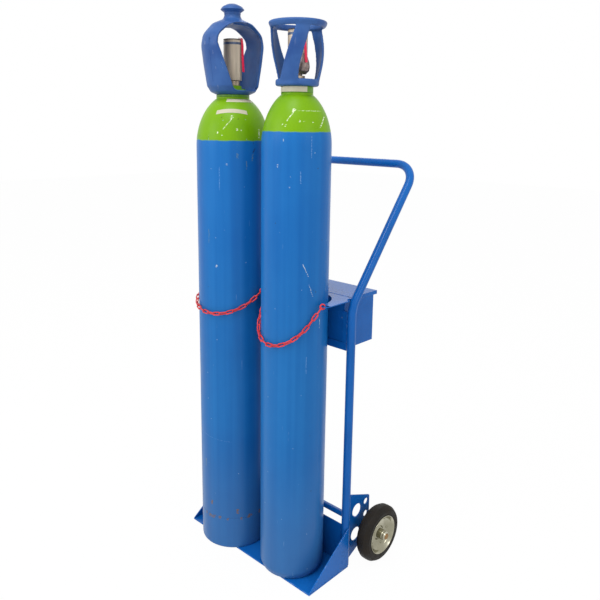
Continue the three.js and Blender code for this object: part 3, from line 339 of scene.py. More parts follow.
class Finish:
    """A material whose colour is laid on in layers, from the mottled ground up."""

    def __init__(self, name, slot, mottle_scale, peel_scale, peel_strength, peel_depth, metallic=0.0,
                 specular=0.5):
        self.material = bpy.data.materials.new(name)
        self.material.use_nodes = True
        self.tree = self.material.node_tree
        self.shader = self.tree.nodes["Principled BSDF"].inputs
        self.shader["Metallic"].default_value = metallic
        self.shader["Specular IOR Level"].default_value = specular
        self.here = add_node(self.tree, "ShaderNodeTexCoord").outputs["Object"]
        mottle = self.effect(MOTTLING, Scale=mottle_scale, Peel_scale=peel_scale)
        self.shade = mottle["Shade"]
        skin = add_node(
            self.tree, "ShaderNodeBump", Strength=peel_strength, Distance=peel_depth, Height=mottle["Peel"],
        )
        feed(self.tree, skin.outputs[0], self.shader["Normal"])

    def effect(self, group, **values):
        values = {"Vector": self.here, **values}
        return add_node(self.tree, "ShaderNodeGroup", node_tree=group, **values).outputs

    def specks(self, scale, share, size):
        return self.effect(SPECKS, Scale=scale, Share=share, Size=size)["Mask"]

    def scratches(self, stretch, threshold):
        return self.effect(SCRATCHES, Stretch=stretch, Threshold=threshold)["Mask"]

    def stretched_noise(self, stretch, detail=3.0):
        return noise(self.tree, vector_math(self.tree, "MULTIPLY", self.here, stretch), 1.0, detail)

    def ground(self, deep, light, share=None):
        share = self.shade if share is None else share
        self.colour = blend_colour(self.tree, share, deep, light)

    def lay(self, mask, strength, colour):
        self.colour = blend_colour(self.tree, times(self.tree, mask, strength), self.colour, colour)

    def finished(self, smooth, rough, dull=None):
        """Sets the colour, and a roughness that drifts between two values and is higher in dull places."""
        level = spread(self.tree, self.shade, 0.0, 1.0, smooth, rough)
        if dull is not None:
            level = compute(self.tree, "ADD", level, times(self.tree, dull, DULLING))
        feed(self.tree, level, self.shader["Roughness"])
        feed(self.tree, self.colour, self.shader["Base Color"])
        return self.material


print("finishes: set-up ready")

# %% Mix the finishes
PALER = 0.35


def enamel():
    paint = Finish("frame_enamel", "frame_paint", mottle_scale=5.0, peel_scale=240.0, peel_strength=0.025,
                   peel_depth=0.0006, specular=0.17)
    chips = paint.specks(scale=70.0, share=0.035, size=0.16)
    lines = paint.scratches(stretch=(60.0, 260.0, 18.0), threshold=0.73)
    worn_and_highlit = paint.effect(WORN_AND_HIGHLIT_EDGES, Scale=55.0, Amount=0.24)["Mask"]
    paint.ground(linear(10, 85, 160), linear(18, 98, 178))
    paint.lay(lines, 0.35, linear(120, 150, 205))
    paint.lay(chips, 0.6, linear(110, 130, 170))
    # pale edges: partly rubbed paint, partly a painted highlight along the edges
    paint.lay(worn_and_highlit, 0.75, linear(116, 150, 206))
    return paint.finished(0.2, 0.3, compute(paint.tree, "MAXIMUM", worn_and_highlit, chips))


def plastic(name, slot, deep, light, roughness, specular=0.5):
    moulding = Finish(name, slot, mottle_scale=14.0, peel_scale=700.0, peel_strength=0.08, peel_depth=0.0004,
                      specular=specular)
    scuffs = moulding.scratches(stretch=(120.0, 120.0, 30.0), threshold=0.7)
    moulding.ground(deep, light)
    moulding.lay(scuffs, 0.3, tuple(share + (1 - share) * PALER for share in light))
    return moulding.finished(roughness - 0.06, roughness + 0.06)


def plated(name, slot, deep, light, roughness, stretch=(30.0, 30.0, 30.0), metallic=1.0):
    metal = Finish(name, slot, mottle_scale=22.0, peel_scale=900.0, peel_strength=0.03, peel_depth=0.0003,
                   metallic=metallic)
    metal.ground(deep, light, spread(metal.tree, metal.stretched_noise(stretch), 0.35, 0.65))
    return metal.finished(roughness - 0.05, roughness + 0.09)


def rubber():
    tread = Finish("tyre_rubber", "tyre", mottle_scale=26.0, peel_scale=1400.0, peel_strength=0.12,
                   peel_depth=0.0004, specular=0.22)
    tread.ground(linear(19, 15, 10), linear(32, 26, 19))
    tread.lay(tread.specks(scale=190.0, share=0.12, size=0.12), 0.25, linear(110, 100, 88))
    return tread.finished(0.52, 0.7)


FRAME_ENAMEL = enamel()
GUARD_PLASTIC = plastic("guard_plastic", "guard_plastic", linear(36, 73, 134), linear(52, 92, 152), 0.42,
                        specular=0.23)
CHAIN_COATING = plastic("chain_coating", "chain_paint", linear(196, 34, 42), linear(226, 60, 60), 0.38)
STRIP_PLASTIC = plastic("strip_plastic", "seal_plastic", linear(214, 8, 58), linear(238, 26, 76), 0.3)
LABEL_PAPER = plastic("bare_label", None, linear(184, 178, 156), linear(204, 198, 176), 0.55,
                      specular=0.2)
RING_PAINT = plastic("ring_green", "dark_steel", linear(66, 116, 12), linear(88, 142, 18), 0.4)
ZINC = plated("zinc_plating", "zinc", linear(148, 145, 125), linear(198, 195, 176), 0.17,
              stretch=(9.0, 9.0, 9.0))
SATIN = plated("satin_sleeve", "pewter", linear(170, 154, 134), linear(196, 181, 161), 0.34,
               stretch=(40.0, 40.0, 6.0), metallic=0.2)
BLUED = plated("blued_line", "pewter", linear(70, 84, 110), linear(92, 104, 128), 0.35, metallic=0.4)
BRASS = plated("dull_brass", "brass", linear(104, 78, 46), linear(142, 108, 66), 0.34)
WORN_BRASS = plated("worn_plated_brass", "brass", linear(138, 120, 100), linear(182, 165, 144), 0.3,
                    metallic=0.7)
DARK_STEEL = plated("dark_steel", "dark_steel", linear(70, 64, 60), linear(100, 92, 86), 0.38)
COVER_STEEL = plated("brown_steel", "dark_steel", linear(110, 94, 90), linear(156, 142, 136), 0.26,
                     metallic=0.5)
TYRE_RUBBER = rubber()

# %% [markdown]
# ## Shape helpers
#
# Most of the cart is turned, bent or cut from sheet, so a few helpers make nearly everything. `rounded`
# takes the corner points of an outline, each with its own radius, `lathe` turns an outline about an axis,
# `pipe` bends a round bar along a path, and `sheet_metal` cuts a plate with holes and eases its edges. The
# eased faces are marked with an attribute, which the enamel reads to make its edges pale in patches: partly
# rubbed paint, partly a painted highlight along the edges.

# %% Draw outlines and paths
ROUND_STEPS = 6
CORNER_SHARE = 0.49


def rounded(points, closed=False, steps=ROUND_STEPS):
    """Corner points (a, b, radius), in any unit, with each corner rounded by its own radius."""
    out = []
    for i, (a, b, radius) in enumerate(points):
        here = Vector((a, b))
        at_end = not closed and i in (0, len(points) - 1)
        if radius <= 0 or at_end:
            out.append((a, b))
            continue
        back = Vector(points[i - 1][:2]) - here
        ahead = Vector(points[(i + 1) % len(points)][:2]) - here
        reach = radius / math.tan(back.angle(ahead) / 2)
        reach = min(reach, CORNER_SHARE * back.length, CORNER_SHARE * ahead.length)
        start = here + back.normalized() * reach
        end = here + ahead.normalized() * reach
        for step in range(steps + 1):
            t = step / steps
            point = start * (1 - t) ** 2 + here * 2 * t * (1 - t) + end * t ** 2
            out.append((point.x, point.y))
    return out


def ring_outline(inner, outer, low, high, edge):
    corners = [(inner, low, edge), (outer, low, edge), (outer, high, edge), (inner, high, edge)]
    return rounded(corners, closed=True)


def plan_arc(centre, radius, start, end, steps):
    angles = [start + (end - start) * k / steps for k in range(steps + 1)]
    return [(centre[0] + radius * math.cos(a), centre[1] + radius * math.sin(a)) for a in angles]


def circle(centre, radius, steps):
    return plan_arc(centre, radius, 0, 2 * math.pi, steps)[:-1]


def arc(centre, radius, first, second, sweep, steps):
    """Points in space round a centre, from the first direction towards the second."""
    points = []
    for a, b in plan_arc((0, 0), radius, 0, sweep, steps):
        points.append(centre + first * a + second * b)
    return points


def ahead_at(path, i):
    return (path[min(i + 1, len(path) - 1)] - path[max(i - 1, 0)]).normalized()


print("outline helpers ready")

# %% Define the shape helpers
SHADE_ANGLE = math.radians(40)
SHEET_SHADE_ANGLE = math.radians(22)
EDGE_ANGLE = math.radians(32)
FLAT_ANGLE = 0.01
MERGE_DISTANCE = 1e-6
TRIANGLE_MERGE_DISTANCE = 1e-5
ON_AXIS = 1e-4
NARROW_SHARE = 1.5
PIPE_SIDES = 40
ALONG_X = Matrix(((0, 0, 1, 0), (1, 0, 0, 0), (0, 1, 0, 0), (0, 0, 0, 1)))


def to_mesh(bm, shade_angle=SHADE_ANGLE):
    bmesh.ops.remove_doubles(bm, verts=bm.verts, dist=MERGE_DISTANCE)
    bmesh.ops.recalc_face_normals(bm, faces=bm.faces)
    mesh = bpy.data.meshes.new("shape")
    bm.to_mesh(mesh)
    bm.free()
    mesh.shade_smooth()
    mesh.set_sharp_from_angle(angle=shade_angle)
    return mesh


def skin_rings(rings, ends="capped"):
    """A skin over rings of points, whose ends are capped, open, or joined in a loop."""
    bm = bmesh.new()
    made = [[bm.verts.new(point) for point in ring] for ring in rings]
    pairs = list(zip(made, made[1:]))
    if ends == "loop":
        pairs.append((made[-1], made[0]))
    for lower, upper in pairs:
        count = max(len(lower), len(upper))
        for k in range(count):
            n = (k + 1) % count
            below = [lower[k % len(lower)], lower[n % len(lower)]]
            above = [upper[n % len(upper)], upper[k % len(upper)]]
            corners = list(dict.fromkeys(below + above))
            if len(corners) > 2:
                bm.faces.new(corners)
    if ends == "capped":
        bm.faces.new(made[0])
        bm.faces.new(made[-1])
    return bm


def lathe(profile, at, segments, turn=Matrix.Identity(4), closed=True):
    """Turns (radius, height) points in millimetres about Z, then turns and moves the result."""
    rings = []
    for radius, height in profile:
        plan = circle((0, 0), radius * MM, segments) if radius > ON_AXIS else [(0, 0)]
        rings.append([(x, y, height * MM) for x, y in plan])
    bm = skin_rings(rings, "loop" if closed else "open")
    bm.transform(Matrix.Translation(at) @ turn)
    return to_mesh(bm)


def pipe(path, radius):
    rings = []
    side = None
    for i, point in enumerate(path):
        ahead = ahead_at(path, i)
        side = side or ahead.orthogonal().normalized()
        side = (side - ahead * side.dot(ahead)).normalized()
        rings.append(arc(point, radius, side, ahead.cross(side), 2 * math.pi, PIPE_SIDES)[:-1])
    return to_mesh(skin_rings(rings))


def ease_edges(bm, width):
    """Bevels the sharp edges and marks the narrow faces this makes, for pale edges of worn paint and painted
    highlight.
    """
    eased_edge = bm.faces.layers.float.new("eased_edge")
    bm.normal_update()
    sharp = [e for e in bm.edges if len(e.link_faces) == 2 and e.calc_face_angle() > EDGE_ANGLE]
    eased = bmesh.ops.bevel(
        bm, geom=sharp, offset=width, segments=2, profile=0.5, affect="EDGES", clamp_overlap=True,
    )
    for face in eased["faces"]:
        longest = max(edge.calc_length() for edge in face.edges)
        if face.calc_area() < NARROW_SHARE * width * longest:
            face[eased_edge] = 1.0


def sheet_metal(loops, thickness, edge, place):
    """A plate from an outline and its holes, lists of (a, b), lying on its lower face before it is placed."""
    bm = bmesh.new()
    rims = []
    for loop in loops:
        rim = [bm.verts.new((a, b, 0)) for a, b in loop]
        rims += list(zip(rim, rim[1:] + rim[:1]))
    for here, after in rims:
        bm.edges.new((here, after))
    bmesh.ops.triangle_fill(bm, use_beauty=True, edges=bm.edges[:])
    flat = bm.faces[:]
    upper = {vert: bm.verts.new((vert.co.x, vert.co.y, thickness)) for vert in bm.verts[:]}
    for face in flat:
        bm.faces.new([upper[vert] for vert in reversed(face.verts)])
    for here, after in rims:
        bm.faces.new((here, after, upper[after], upper[here]))
    bmesh.ops.recalc_face_normals(bm, faces=bm.faces)
    bmesh.ops.dissolve_limit(bm, angle_limit=FLAT_ANGLE, verts=bm.verts, edges=bm.edges)
    ease_edges(bm, edge)
    bm.transform(place)
    return to_mesh(bm, SHEET_SHADE_ANGLE)


def eased_copy(node, edge):
    """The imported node's own shape with its doubles merged and its edges eased."""
    bm = bmesh.new()
    bm.from_mesh(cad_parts[node].data)
    bmesh.ops.remove_doubles(bm, verts=bm.verts, dist=TRIANGLE_MERGE_DISTANCE)
    bmesh.ops.dissolve_limit(bm, angle_limit=FLAT_ANGLE, verts=bm.verts, edges=bm.edges)
    ease_edges(bm, edge)
    return to_mesh(bm, SHEET_SHADE_ANGLE)


def add_piece(mesh, name, material, body, *replaced):
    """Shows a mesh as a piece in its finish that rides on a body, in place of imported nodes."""
    mesh.name = name
    mesh.materials.clear()
    mesh.materials.append(material)
    made = bpy.data.objects.new(name, mesh)
    scene.collection.objects.link(made)
    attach(made, body)
    if replaced:
        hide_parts(*replaced)


print("shape helpers ready")

# %% [markdown]
# ## Pipe frame
#
# On the real cart one length of pipe runs up one side, bends back over the tool tray, makes the handle and
# comes down the other side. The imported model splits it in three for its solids. Here it is drawn as one
# pipe again, so that no splice shows, with close steps through the bends and none on the straights.

# %% Bend the frame pipe
PIPE_RADIUS = 0.01345
PIPE_FOOT = 0.0006
UPRIGHT_X = 0.2655
UPRIGHT_Y = 0.109
BEND_Z = 0.873
BEND_RADIUS = 0.09
HANDLE_Y = 0.427
HANDLE_Z = 1.287
HANDLE_CORNER = 0.08
BEND_STEPS = 14
CROSS_TUBE_RADIUS = 0.0086
UP = Vector((0, 0, 1))
RIGHT = Vector((1, 0, 0))
FORWARD = Vector((0, -1, 0))
BACKWARD = Vector((0, 1, 0))
SIDES = (("left", -1), ("right", 1))

arm_run = Vector((0, HANDLE_Y - UPRIGHT_Y, HANDLE_Z - BEND_Z))
arm = arm_run.normalized()
arm_tilt = math.acos(arm.z)


def side_path(sign):
    x = sign * UPRIGHT_X
    bend_low = BEND_Z - BEND_RADIUS * math.tan(arm_tilt / 2)
    bend_centre = Vector((x, UPRIGHT_Y + BEND_RADIUS, bend_low))
    bend = arc(bend_centre, BEND_RADIUS, FORWARD, UP, arm_tilt, BEND_STEPS)
    corner_run = arm * (arm_run.length - HANDLE_CORNER)
    corner_centre = Vector((sign * (UPRIGHT_X - HANDLE_CORNER), UPRIGHT_Y, BEND_Z)) + corner_run
    corner = arc(corner_centre, HANDLE_CORNER, RIGHT * sign, arm, math.pi / 2, BEND_STEPS)
    return [Vector((x, UPRIGHT_Y, PIPE_FOOT)), *bend, *corner]


frame_path = side_path(-1) + side_path(1)[::-1]
add_piece(pipe(frame_path, PIPE_RADIUS), "frame_pipe", FRAME_ENAMEL, "frame",
          "upright_left", "upright_right", "handle_hoop")

cross_low, cross_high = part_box("cross_tube")
cross_middle = (cross_low + cross_high) / 2
cross_path = [Vector((sign * UPRIGHT_X, cross_middle.y, cross_middle.z)) for sign in (-1, 1)]
add_piece(pipe(cross_path, CROSS_TUBE_RADIUS), "cross_tube_round", FRAME_ENAMEL, "frame", "cross_tube")
print("pipe:", len(frame_path), "stations")

# %% [markdown]
# ## Toe tray and tool tray sheet
#
# The tray that the bottles stand in and the tool tray are folded from sheet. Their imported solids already
# have the right shape, so a copy of each is taken and only its edges are eased, as brake-pressed and
# deburred sheet is. The wheel brackets and the cradle have round cut-outs, so they are cut again with finer
# arcs from the same sizes.

# %% Ease the folded sheet pieces
SHEET_EDGES = {
    "toe_plate": 0.0012,
    "back_wall": 0.0009,
    "side_gusset_left": 0.0011,
    "side_gusset_right": 0.0011,
    "tool_tray": 0.0006,
    "tray_rail": 0.0009,
    "tray_strap_left": 0.0009,
    "tray_strap_right": 0.0009,
    "hinge_fixed_leaf": 0.0002,
}
LID_EDGES = {"lid": 0.0007, "hinge_lid_leaf": 0.0002}
for body, edges in (("frame", SHEET_EDGES), ("lid", LID_EDGES)):
    for node, edge in edges.items():
        add_piece(eased_copy(node, edge), node + "_sheet", FRAME_ENAMEL, body, node)
pin_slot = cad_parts["hinge_pin"].material_slots[0]
pin_slot.link = "OBJECT"
pin_slot.material = DARK_STEEL
print("eased sheet pieces:", len(SHEET_EDGES) + len(LID_EDGES))

# %% Cut the wheel brackets
AXLE_Y = 0.212
AXLE_Z = 0.093
BRACKET_THICKNESS = 0.004
BRACKET_EDGE = 0.0008
BRACKET_FRONT = UPRIGHT_Y + PIPE_RADIUS - 0.002
BRACKET_REAR = 0.231
BRACKET_CORNER = 0.008
BRACKET_CORNERS = (
    (BRACKET_FRONT, 0.011, 0.0),
    (BRACKET_REAR, 0.063, BRACKET_CORNER),
    (BRACKET_REAR, 0.199, BRACKET_CORNER),
    (BRACKET_FRONT, 0.245, 0.0),
)
LARGE_HOLES = ((0.164, 0.171), (0.16, 0.087))
LARGE_HOLE_RADIUS = 0.0225
LARGE_HOLE_STEPS = 48
SMALL_HOLES = 3
SMALL_HOLE_PITCH = 0.045
SMALL_HOLE_RADIUS = 0.0105
SMALL_HOLE_STEPS = 32

axle_holes = [(AXLE_Y, AXLE_Z + step * SMALL_HOLE_PITCH) for step in range(SMALL_HOLES)]
bracket_loops = [rounded(BRACKET_CORNERS, closed=True)]
bracket_loops += [circle(hole, LARGE_HOLE_RADIUS, LARGE_HOLE_STEPS) for hole in LARGE_HOLES]
bracket_loops += [circle(hole, SMALL_HOLE_RADIUS, SMALL_HOLE_STEPS) for hole in axle_holes]
for side, sign in SIDES:
    place = Matrix.Translation((sign * UPRIGHT_X - BRACKET_THICKNESS / 2, 0, 0)) @ ALONG_X
    bracket = sheet_metal(bracket_loops, BRACKET_THICKNESS, BRACKET_EDGE, place)
    add_piece(bracket, f"wheel_bracket_cut_{side}", FRAME_ENAMEL, "frame", f"wheel_bracket_{side}")
print("bracket holes:", len(bracket_loops) - 1)

# %% Cut the cradle plate
CRADLE_TOP = 0.895
CRADLE_THICKNESS = 0.003
CRADLE_EDGE = 0.0007
CRADLE_HALF_WIDTH = 0.264
SCALLOPS = {"left": (0.118, -0.005), "right": (0.107, 0.00775)}
SCALLOP_STEPS = 40
HORN_TIP_Y = -0.006
HORN_TIP_STEPS = 16
PIPE_NOTCH = PIPE_RADIUS + 0.0002
PIPE_NOTCH_STEPS = 14
CHAIN_EYE_Y = 0.0006
CHAIN_EYE_RADIUS = 0.004
CHAIN_EYE_STEPS = 24
TONGUE_EYE_OFFSET = 0.01
cradle_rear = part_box("cradle_plate")[1].y


def bottle_axis(side):
    low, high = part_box(f"bottle_shell_{side}")
    return ((low.x + high.x) / 2, (low.y + high.y) / 2)


AXES = {side: bottle_axis(side) for side, sign in SIDES}


def horn_tip_radius(side):
    return (CRADLE_HALF_WIDTH - abs(AXES[side][0]) - SCALLOPS[side][0]) / 2


def cradle_side(side, sign):
    """One half of the outline, from the tongue round the scallop, horn and pipe to the rear corner."""
    axis_x = abs(AXES[side][0])
    radius, scallop_y = SCALLOPS[side]
    tip = horn_tip_radius(side)
    tip_y = HORN_TIP_Y + tip
    lean = math.asin((tip_y - scallop_y) / radius)
    reach = math.acos((UPRIGHT_X - CRADLE_HALF_WIDTH) / PIPE_NOTCH)
    half = [(axis_x - radius, HORN_TIP_Y)]
    half += plan_arc((axis_x, scallop_y), radius, math.pi - lean, lean, SCALLOP_STEPS)
    half += plan_arc((CRADLE_HALF_WIDTH - tip, tip_y), tip, math.pi, 2 * math.pi, HORN_TIP_STEPS)
    half += plan_arc((UPRIGHT_X, UPRIGHT_Y), PIPE_NOTCH, math.pi + reach, math.pi - reach, PIPE_NOTCH_STEPS)
    half += [(CRADLE_HALF_WIDTH, cradle_rear)]
    return [(sign * x, y) for x, y in half]


tongue_left = AXES["left"][0] + SCALLOPS["left"][0]
tongue_right = AXES["right"][0] - SCALLOPS["right"][0]
tongue_x = (tongue_left + tongue_right) / 2
CHAIN_EYES = [(x, CHAIN_EYE_Y) for x in (
    horn_tip_radius("left") - CRADLE_HALF_WIDTH,
    tongue_x - TONGUE_EYE_OFFSET,
    tongue_x + TONGUE_EYE_OFFSET,
    CRADLE_HALF_WIDTH - horn_tip_radius("right"),
)]
cradle_loops = [cradle_side("right", 1) + cradle_side("left", -1)[::-1]]
cradle_loops += [circle(eye, CHAIN_EYE_RADIUS, CHAIN_EYE_STEPS) for eye in CHAIN_EYES]
cradle_place = Matrix.Translation((0, 0, CRADLE_TOP - CRADLE_THICKNESS))
cradle = sheet_metal(cradle_loops, CRADLE_THICKNESS, CRADLE_EDGE, cradle_place)
add_piece(cradle, "cradle_plate_cut", FRAME_ENAMEL, "frame", "cradle_plate")
print("bottle axes:", AXES)

# %% [markdown]
# ## Wheels and axle
#
# Each wheel is a solid rubber tyre pressed on to a rim of two dished steel halves, riveted together round a
# hub sleeve. The outlines are turned about the axle. The rivets repeat round a circle, so a small Geometry
# Nodes tree makes them: a ring of points, a domed head on each, made real and given its material.


# %% Set up the Geometry Nodes trees
def new_tree(name, sockets):
    """A tree that takes Geometry, the named inputs and a Material, and gives Geometry."""
    tree = bpy.data.node_groups.new(name, "GeometryNodeTree")
    for label, kind in {"Geometry": "Geometry", **sockets, "Material": "Material"}.items():
        tree.interface.new_socket(label, in_out="INPUT", socket_type="NodeSocket" + kind)
    tree.interface.new_socket("Geometry", in_out="OUTPUT", socket_type="NodeSocketGeometry")
    return tree, tree.nodes.new("NodeGroupInput").outputs


def result_of(tree, kind, **values):
    return add_node(tree, kind, **values).outputs[0]


def finish_tree(tree, given, **values):
    """Sets an instance on each point, makes the instances real and gives them their material."""
    placed = result_of(tree, "GeometryNodeInstanceOnPoints", **values)
    real = result_of(tree, "GeometryNodeRealizeInstances", Geometry=placed)
    painted = result_of(tree, "GeometryNodeSetMaterial", Geometry=real, Material=given["Material"])
    add_node(tree, "NodeGroupOutput", Geometry=painted)
    return tree


def grow(data, tree, values):
    """Runs a tree on a carrier object and gives back the plain, smooth mesh that it made."""
    carrier = bpy.data.objects.new("carrier", data)
    scene.collection.objects.link(carrier)
    modifier = carrier.modifiers.new("grow", "NODES")
    modifier.node_group = tree
    for item in tree.interface.items_tree:
        if item.item_type == "SOCKET" and item.in_out == "INPUT" and item.name in values:
            modifier[item.identifier] = values[item.name]
    graph = bpy.context.evaluated_depsgraph_get()
    mesh = bpy.data.meshes.new_from_object(carrier.evaluated_get(graph), depsgraph=graph)
    bpy.data.objects.remove(carrier)
    mesh.shade_smooth()
    return mesh


def rivet_tree():
    tree, given = new_tree("Rivet circle", {
        "Count": "Int", "Circle radius": "Float", "Head radius": "Float", "Head height": "Float",
    })
    ring = result_of(tree, "GeometryNodeMeshCircle", Vertices=given["Count"], Radius=given["Circle radius"])
    head = result_of(tree, "GeometryNodeMeshUVSphere", Segments=20, Rings=12, Radius=given["Head radius"])
    flatten = result_of(tree, "ShaderNodeCombineXYZ", X=1.0, Y=1.0, Z=given["Head height"])
    dome = result_of(tree, "GeometryNodeTransform", Geometry=head, Scale=flatten)
    return finish_tree(tree, given, Points=ring, Instance=dome)


RIVET_TREE = rivet_tree()
print("tree:", RIVET_TREE.name)

# %% Turn the wheels
WHEEL_X = 0.319
WHEEL_SEGMENTS = 120
HUB_SEGMENTS = 64
TYRE_PROFILE = (
    (61.2, -17.5, 0.8), (65.5, -22.6, 2.5), (75, -23, 4), (81.8, -20, 2), (83.6, -21.8, 0.8),
    (86.6, -18.2, 1), (91.6, -10, 6), (92, 0, 8), (91.6, 10, 6), (86.6, 18.2, 1),
    (83.6, 21.8, 0.8), (81.8, 20, 2), (75, 23, 4), (65.5, 22.6, 2.5), (61.2, 17.5, 0.8),
)
RIM_PROFILE = (
    (16.4, 0.7, 0), (33, 0.7, 4), (38, 2.2, 3), (49, 2.2, 6), (60.6, 8, 5), (60.6, 17, 2), (63.6, 23.2, 1.2),
    (62.2, 24.2, 0.8), (57.8, 18, 2.5), (54, 11, 14), (44, 5.4, 14), (35, 4.2, 6), (24, 3.4, 5),
    (18.6, 8, 2), (16.4, 8, 0.5),
)
HUB_PROFILE = (
    (10.5, -27, 0.4), (15, -27, 1.2), (16, -24, 0.6), (16, 24, 0.6), (15, 27, 1.2), (10.5, 27, 0.4),
)
RIVET_SEAT = 0.005
RIVETS = {"Count": 5, "Circle radius": 0.0435, "Head radius": 0.0042, "Head height": 0.55, "Material": ZINC}


def facing_out(sign):
    """Lays a turned piece along the axle with its top outwards, on the side that the sign gives."""
    return ALONG_X if sign > 0 else Matrix.Rotation(math.pi, 4, "Z") @ ALONG_X


def build_wheel(side, sign):
    body = f"wheel_{side}"
    at = (sign * WHEEL_X, AXLE_Y, AXLE_Z)
    tyre = lathe(rounded(TYRE_PROFILE, closed=True), at, WHEEL_SEGMENTS, facing_out(sign))
    add_piece(tyre, f"tyre_round_{side}", TYRE_RUBBER, body, f"tyre_{side}")
    for half, turn in (("outer", facing_out(sign)), ("inner", facing_out(-sign))):
        rim = lathe(rounded(RIM_PROFILE, closed=True), at, WHEEL_SEGMENTS, turn)
        add_piece(rim, f"rim_dish_{half}_{side}", ZINC, body, f"rim_{half}_{side}")
        heads = grow(bpy.data.meshes.new("rivet_seed"), RIVET_TREE, RIVETS)
        heads.transform(Matrix.Translation(at) @ turn @ Matrix.Translation((0, 0, RIVET_SEAT)))
        add_piece(heads, f"rim_rivets_{half}_{side}", ZINC, body)
    hub = lathe(rounded(HUB_PROFILE, closed=True), at, HUB_SEGMENTS, facing_out(sign))
    add_piece(hub, f"hub_round_{side}", ZINC, body, f"hub_sleeve_{side}")


for side, sign in SIDES:
    build_wheel(side, sign)
print("wheels: two, with", RIVETS["Count"], "rivets on each rim half")

# %% Turn the axle and what is on it
AXLE_RADIUS = 10
AXLE_PAINT_GAP = 0.1
AXLE_CHAMFER = 1.6
AXLE_FACE = 12
AXLE_FACE_LAP = 2
AXLE_SEGMENTS = 48
AXLE_AT = (0, AXLE_Y, AXLE_Z)
RING_BORE = 10.3
RING_EDGE = 0.6
AXLE_RINGS = {"axle_spacer": 14, "axle_washer": 15}
COLLAR_RADIUS = 14.5
DOME_EDGE = 4.5
DOME_INSET = 1.2

axle_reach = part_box("axle")[1].x / MM
axle_end = axle_reach - AXLE_FACE
painted_radius = AXLE_RADIUS - AXLE_PAINT_GAP
axle_outline = [(0, -axle_end), (painted_radius, -axle_end), (painted_radius, axle_end), (0, axle_end)]
axle = lathe(axle_outline, AXLE_AT, AXLE_SEGMENTS, ALONG_X, closed=False)
add_piece(axle, "axle_round", FRAME_ENAMEL, "frame", "axle")

face_start = axle_end - AXLE_FACE_LAP
FACE_PROFILE = (
    (0, face_start, 0), (AXLE_RADIUS, face_start, 0), (AXLE_RADIUS, axle_reach - AXLE_CHAMFER, 0.6),
    (AXLE_RADIUS - AXLE_CHAMFER, axle_reach, 0.8), (0, axle_reach, 0),
)
collar_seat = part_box("axle_collar_right")[0].x / MM
dome_end = axle_reach - DOME_INSET
DOME_PROFILE = (
    (RING_BORE, collar_seat, 0.4), (COLLAR_RADIUS, collar_seat, 0.6),
    (COLLAR_RADIUS, dome_end - DOME_EDGE, DOME_EDGE), (RING_BORE, dome_end, 0.5),
)
for side, sign in SIDES:
    turn = facing_out(sign)
    face = lathe(rounded(FACE_PROFILE), AXLE_AT, AXLE_SEGMENTS, turn, closed=False)
    add_piece(face, f"axle_face_{side}", BRASS, "frame")
    for node, radius in AXLE_RINGS.items():
        low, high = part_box(f"{node}_right")
        outline = ring_outline(RING_BORE, radius, low.x / MM, high.x / MM, RING_EDGE)
        ring = lathe(outline, AXLE_AT, AXLE_SEGMENTS, turn)
        add_piece(ring, f"{node}_round_{side}", ZINC, "frame", f"{node}_{side}")
    collar = lathe(rounded(DOME_PROFILE, closed=True), AXLE_AT, AXLE_SEGMENTS, turn)
    add_piece(collar, f"axle_collar_domed_{side}", ZINC, "frame", f"axle_collar_{side}")
print("axle:", len(AXLE_RINGS) + 1, "rings on each side")

# %% [markdown]
# ## Weld beads
#
# The pipe, the sheet and the brackets are welded. A weld is a row of overlapping ripples, so a second small
# tree does it: it takes the seams as curves, sets a round bead at each step along them, each a little
# different in size, and makes them real. The same tree later sets the fine moulded ticks on the left guard.

# %% Grow the weld beads
WELD_PITCH = 0.0021
WELD_RADIUS = 0.0017
WELD_UNEVENNESS = 0.25
WELD_GAP = 0.0004
BRACKET_WELDS = ((0.03, 0.08), (0.18, 0.232))
toe_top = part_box("toe_plate")[1].z


def bead_tree():
    tree, given = new_tree("Beads along a path", {
        "Pitch": "Float", "Bead radius": "Float", "Unevenness": "Float",
    })
    resample = {"mode": "LENGTH", "Curve": given["Geometry"], "Length": given["Pitch"]}
    steps = result_of(tree, "GeometryNodeResampleCurve", **resample)
    bead = result_of(tree, "GeometryNodeMeshUVSphere", Segments=12, Rings=8, Radius=given["Bead radius"])
    sizes = add_node(tree, "FunctionNodeRandomValue", data_type="FLOAT")
    feed(tree, compute(tree, "SUBTRACT", 1.0, given["Unevenness"]), sizes.inputs[2])
    feed(tree, compute(tree, "ADD", 1.0, given["Unevenness"]), sizes.inputs[3])
    return finish_tree(tree, given, Points=steps, Instance=bead, Scale=sizes.outputs[1])


BEAD_TREE = bead_tree()


def path_curve(paths):
    data = bpy.data.curves.new("paths", "CURVE")
    data.dimensions = "3D"
    for points in paths:
        spline = data.splines.new("POLY")
        spline.points.add(len(points) - 1)
        for spot, point in zip(spline.points, points):
            spot.co = (*point, 1)
    return data


def beads(paths, pitch, radius, unevenness, material):
    values = {"Pitch": pitch, "Bead radius": radius, "Unevenness": unevenness, "Material": material}
    return grow(path_curve(paths), BEAD_TREE, values)


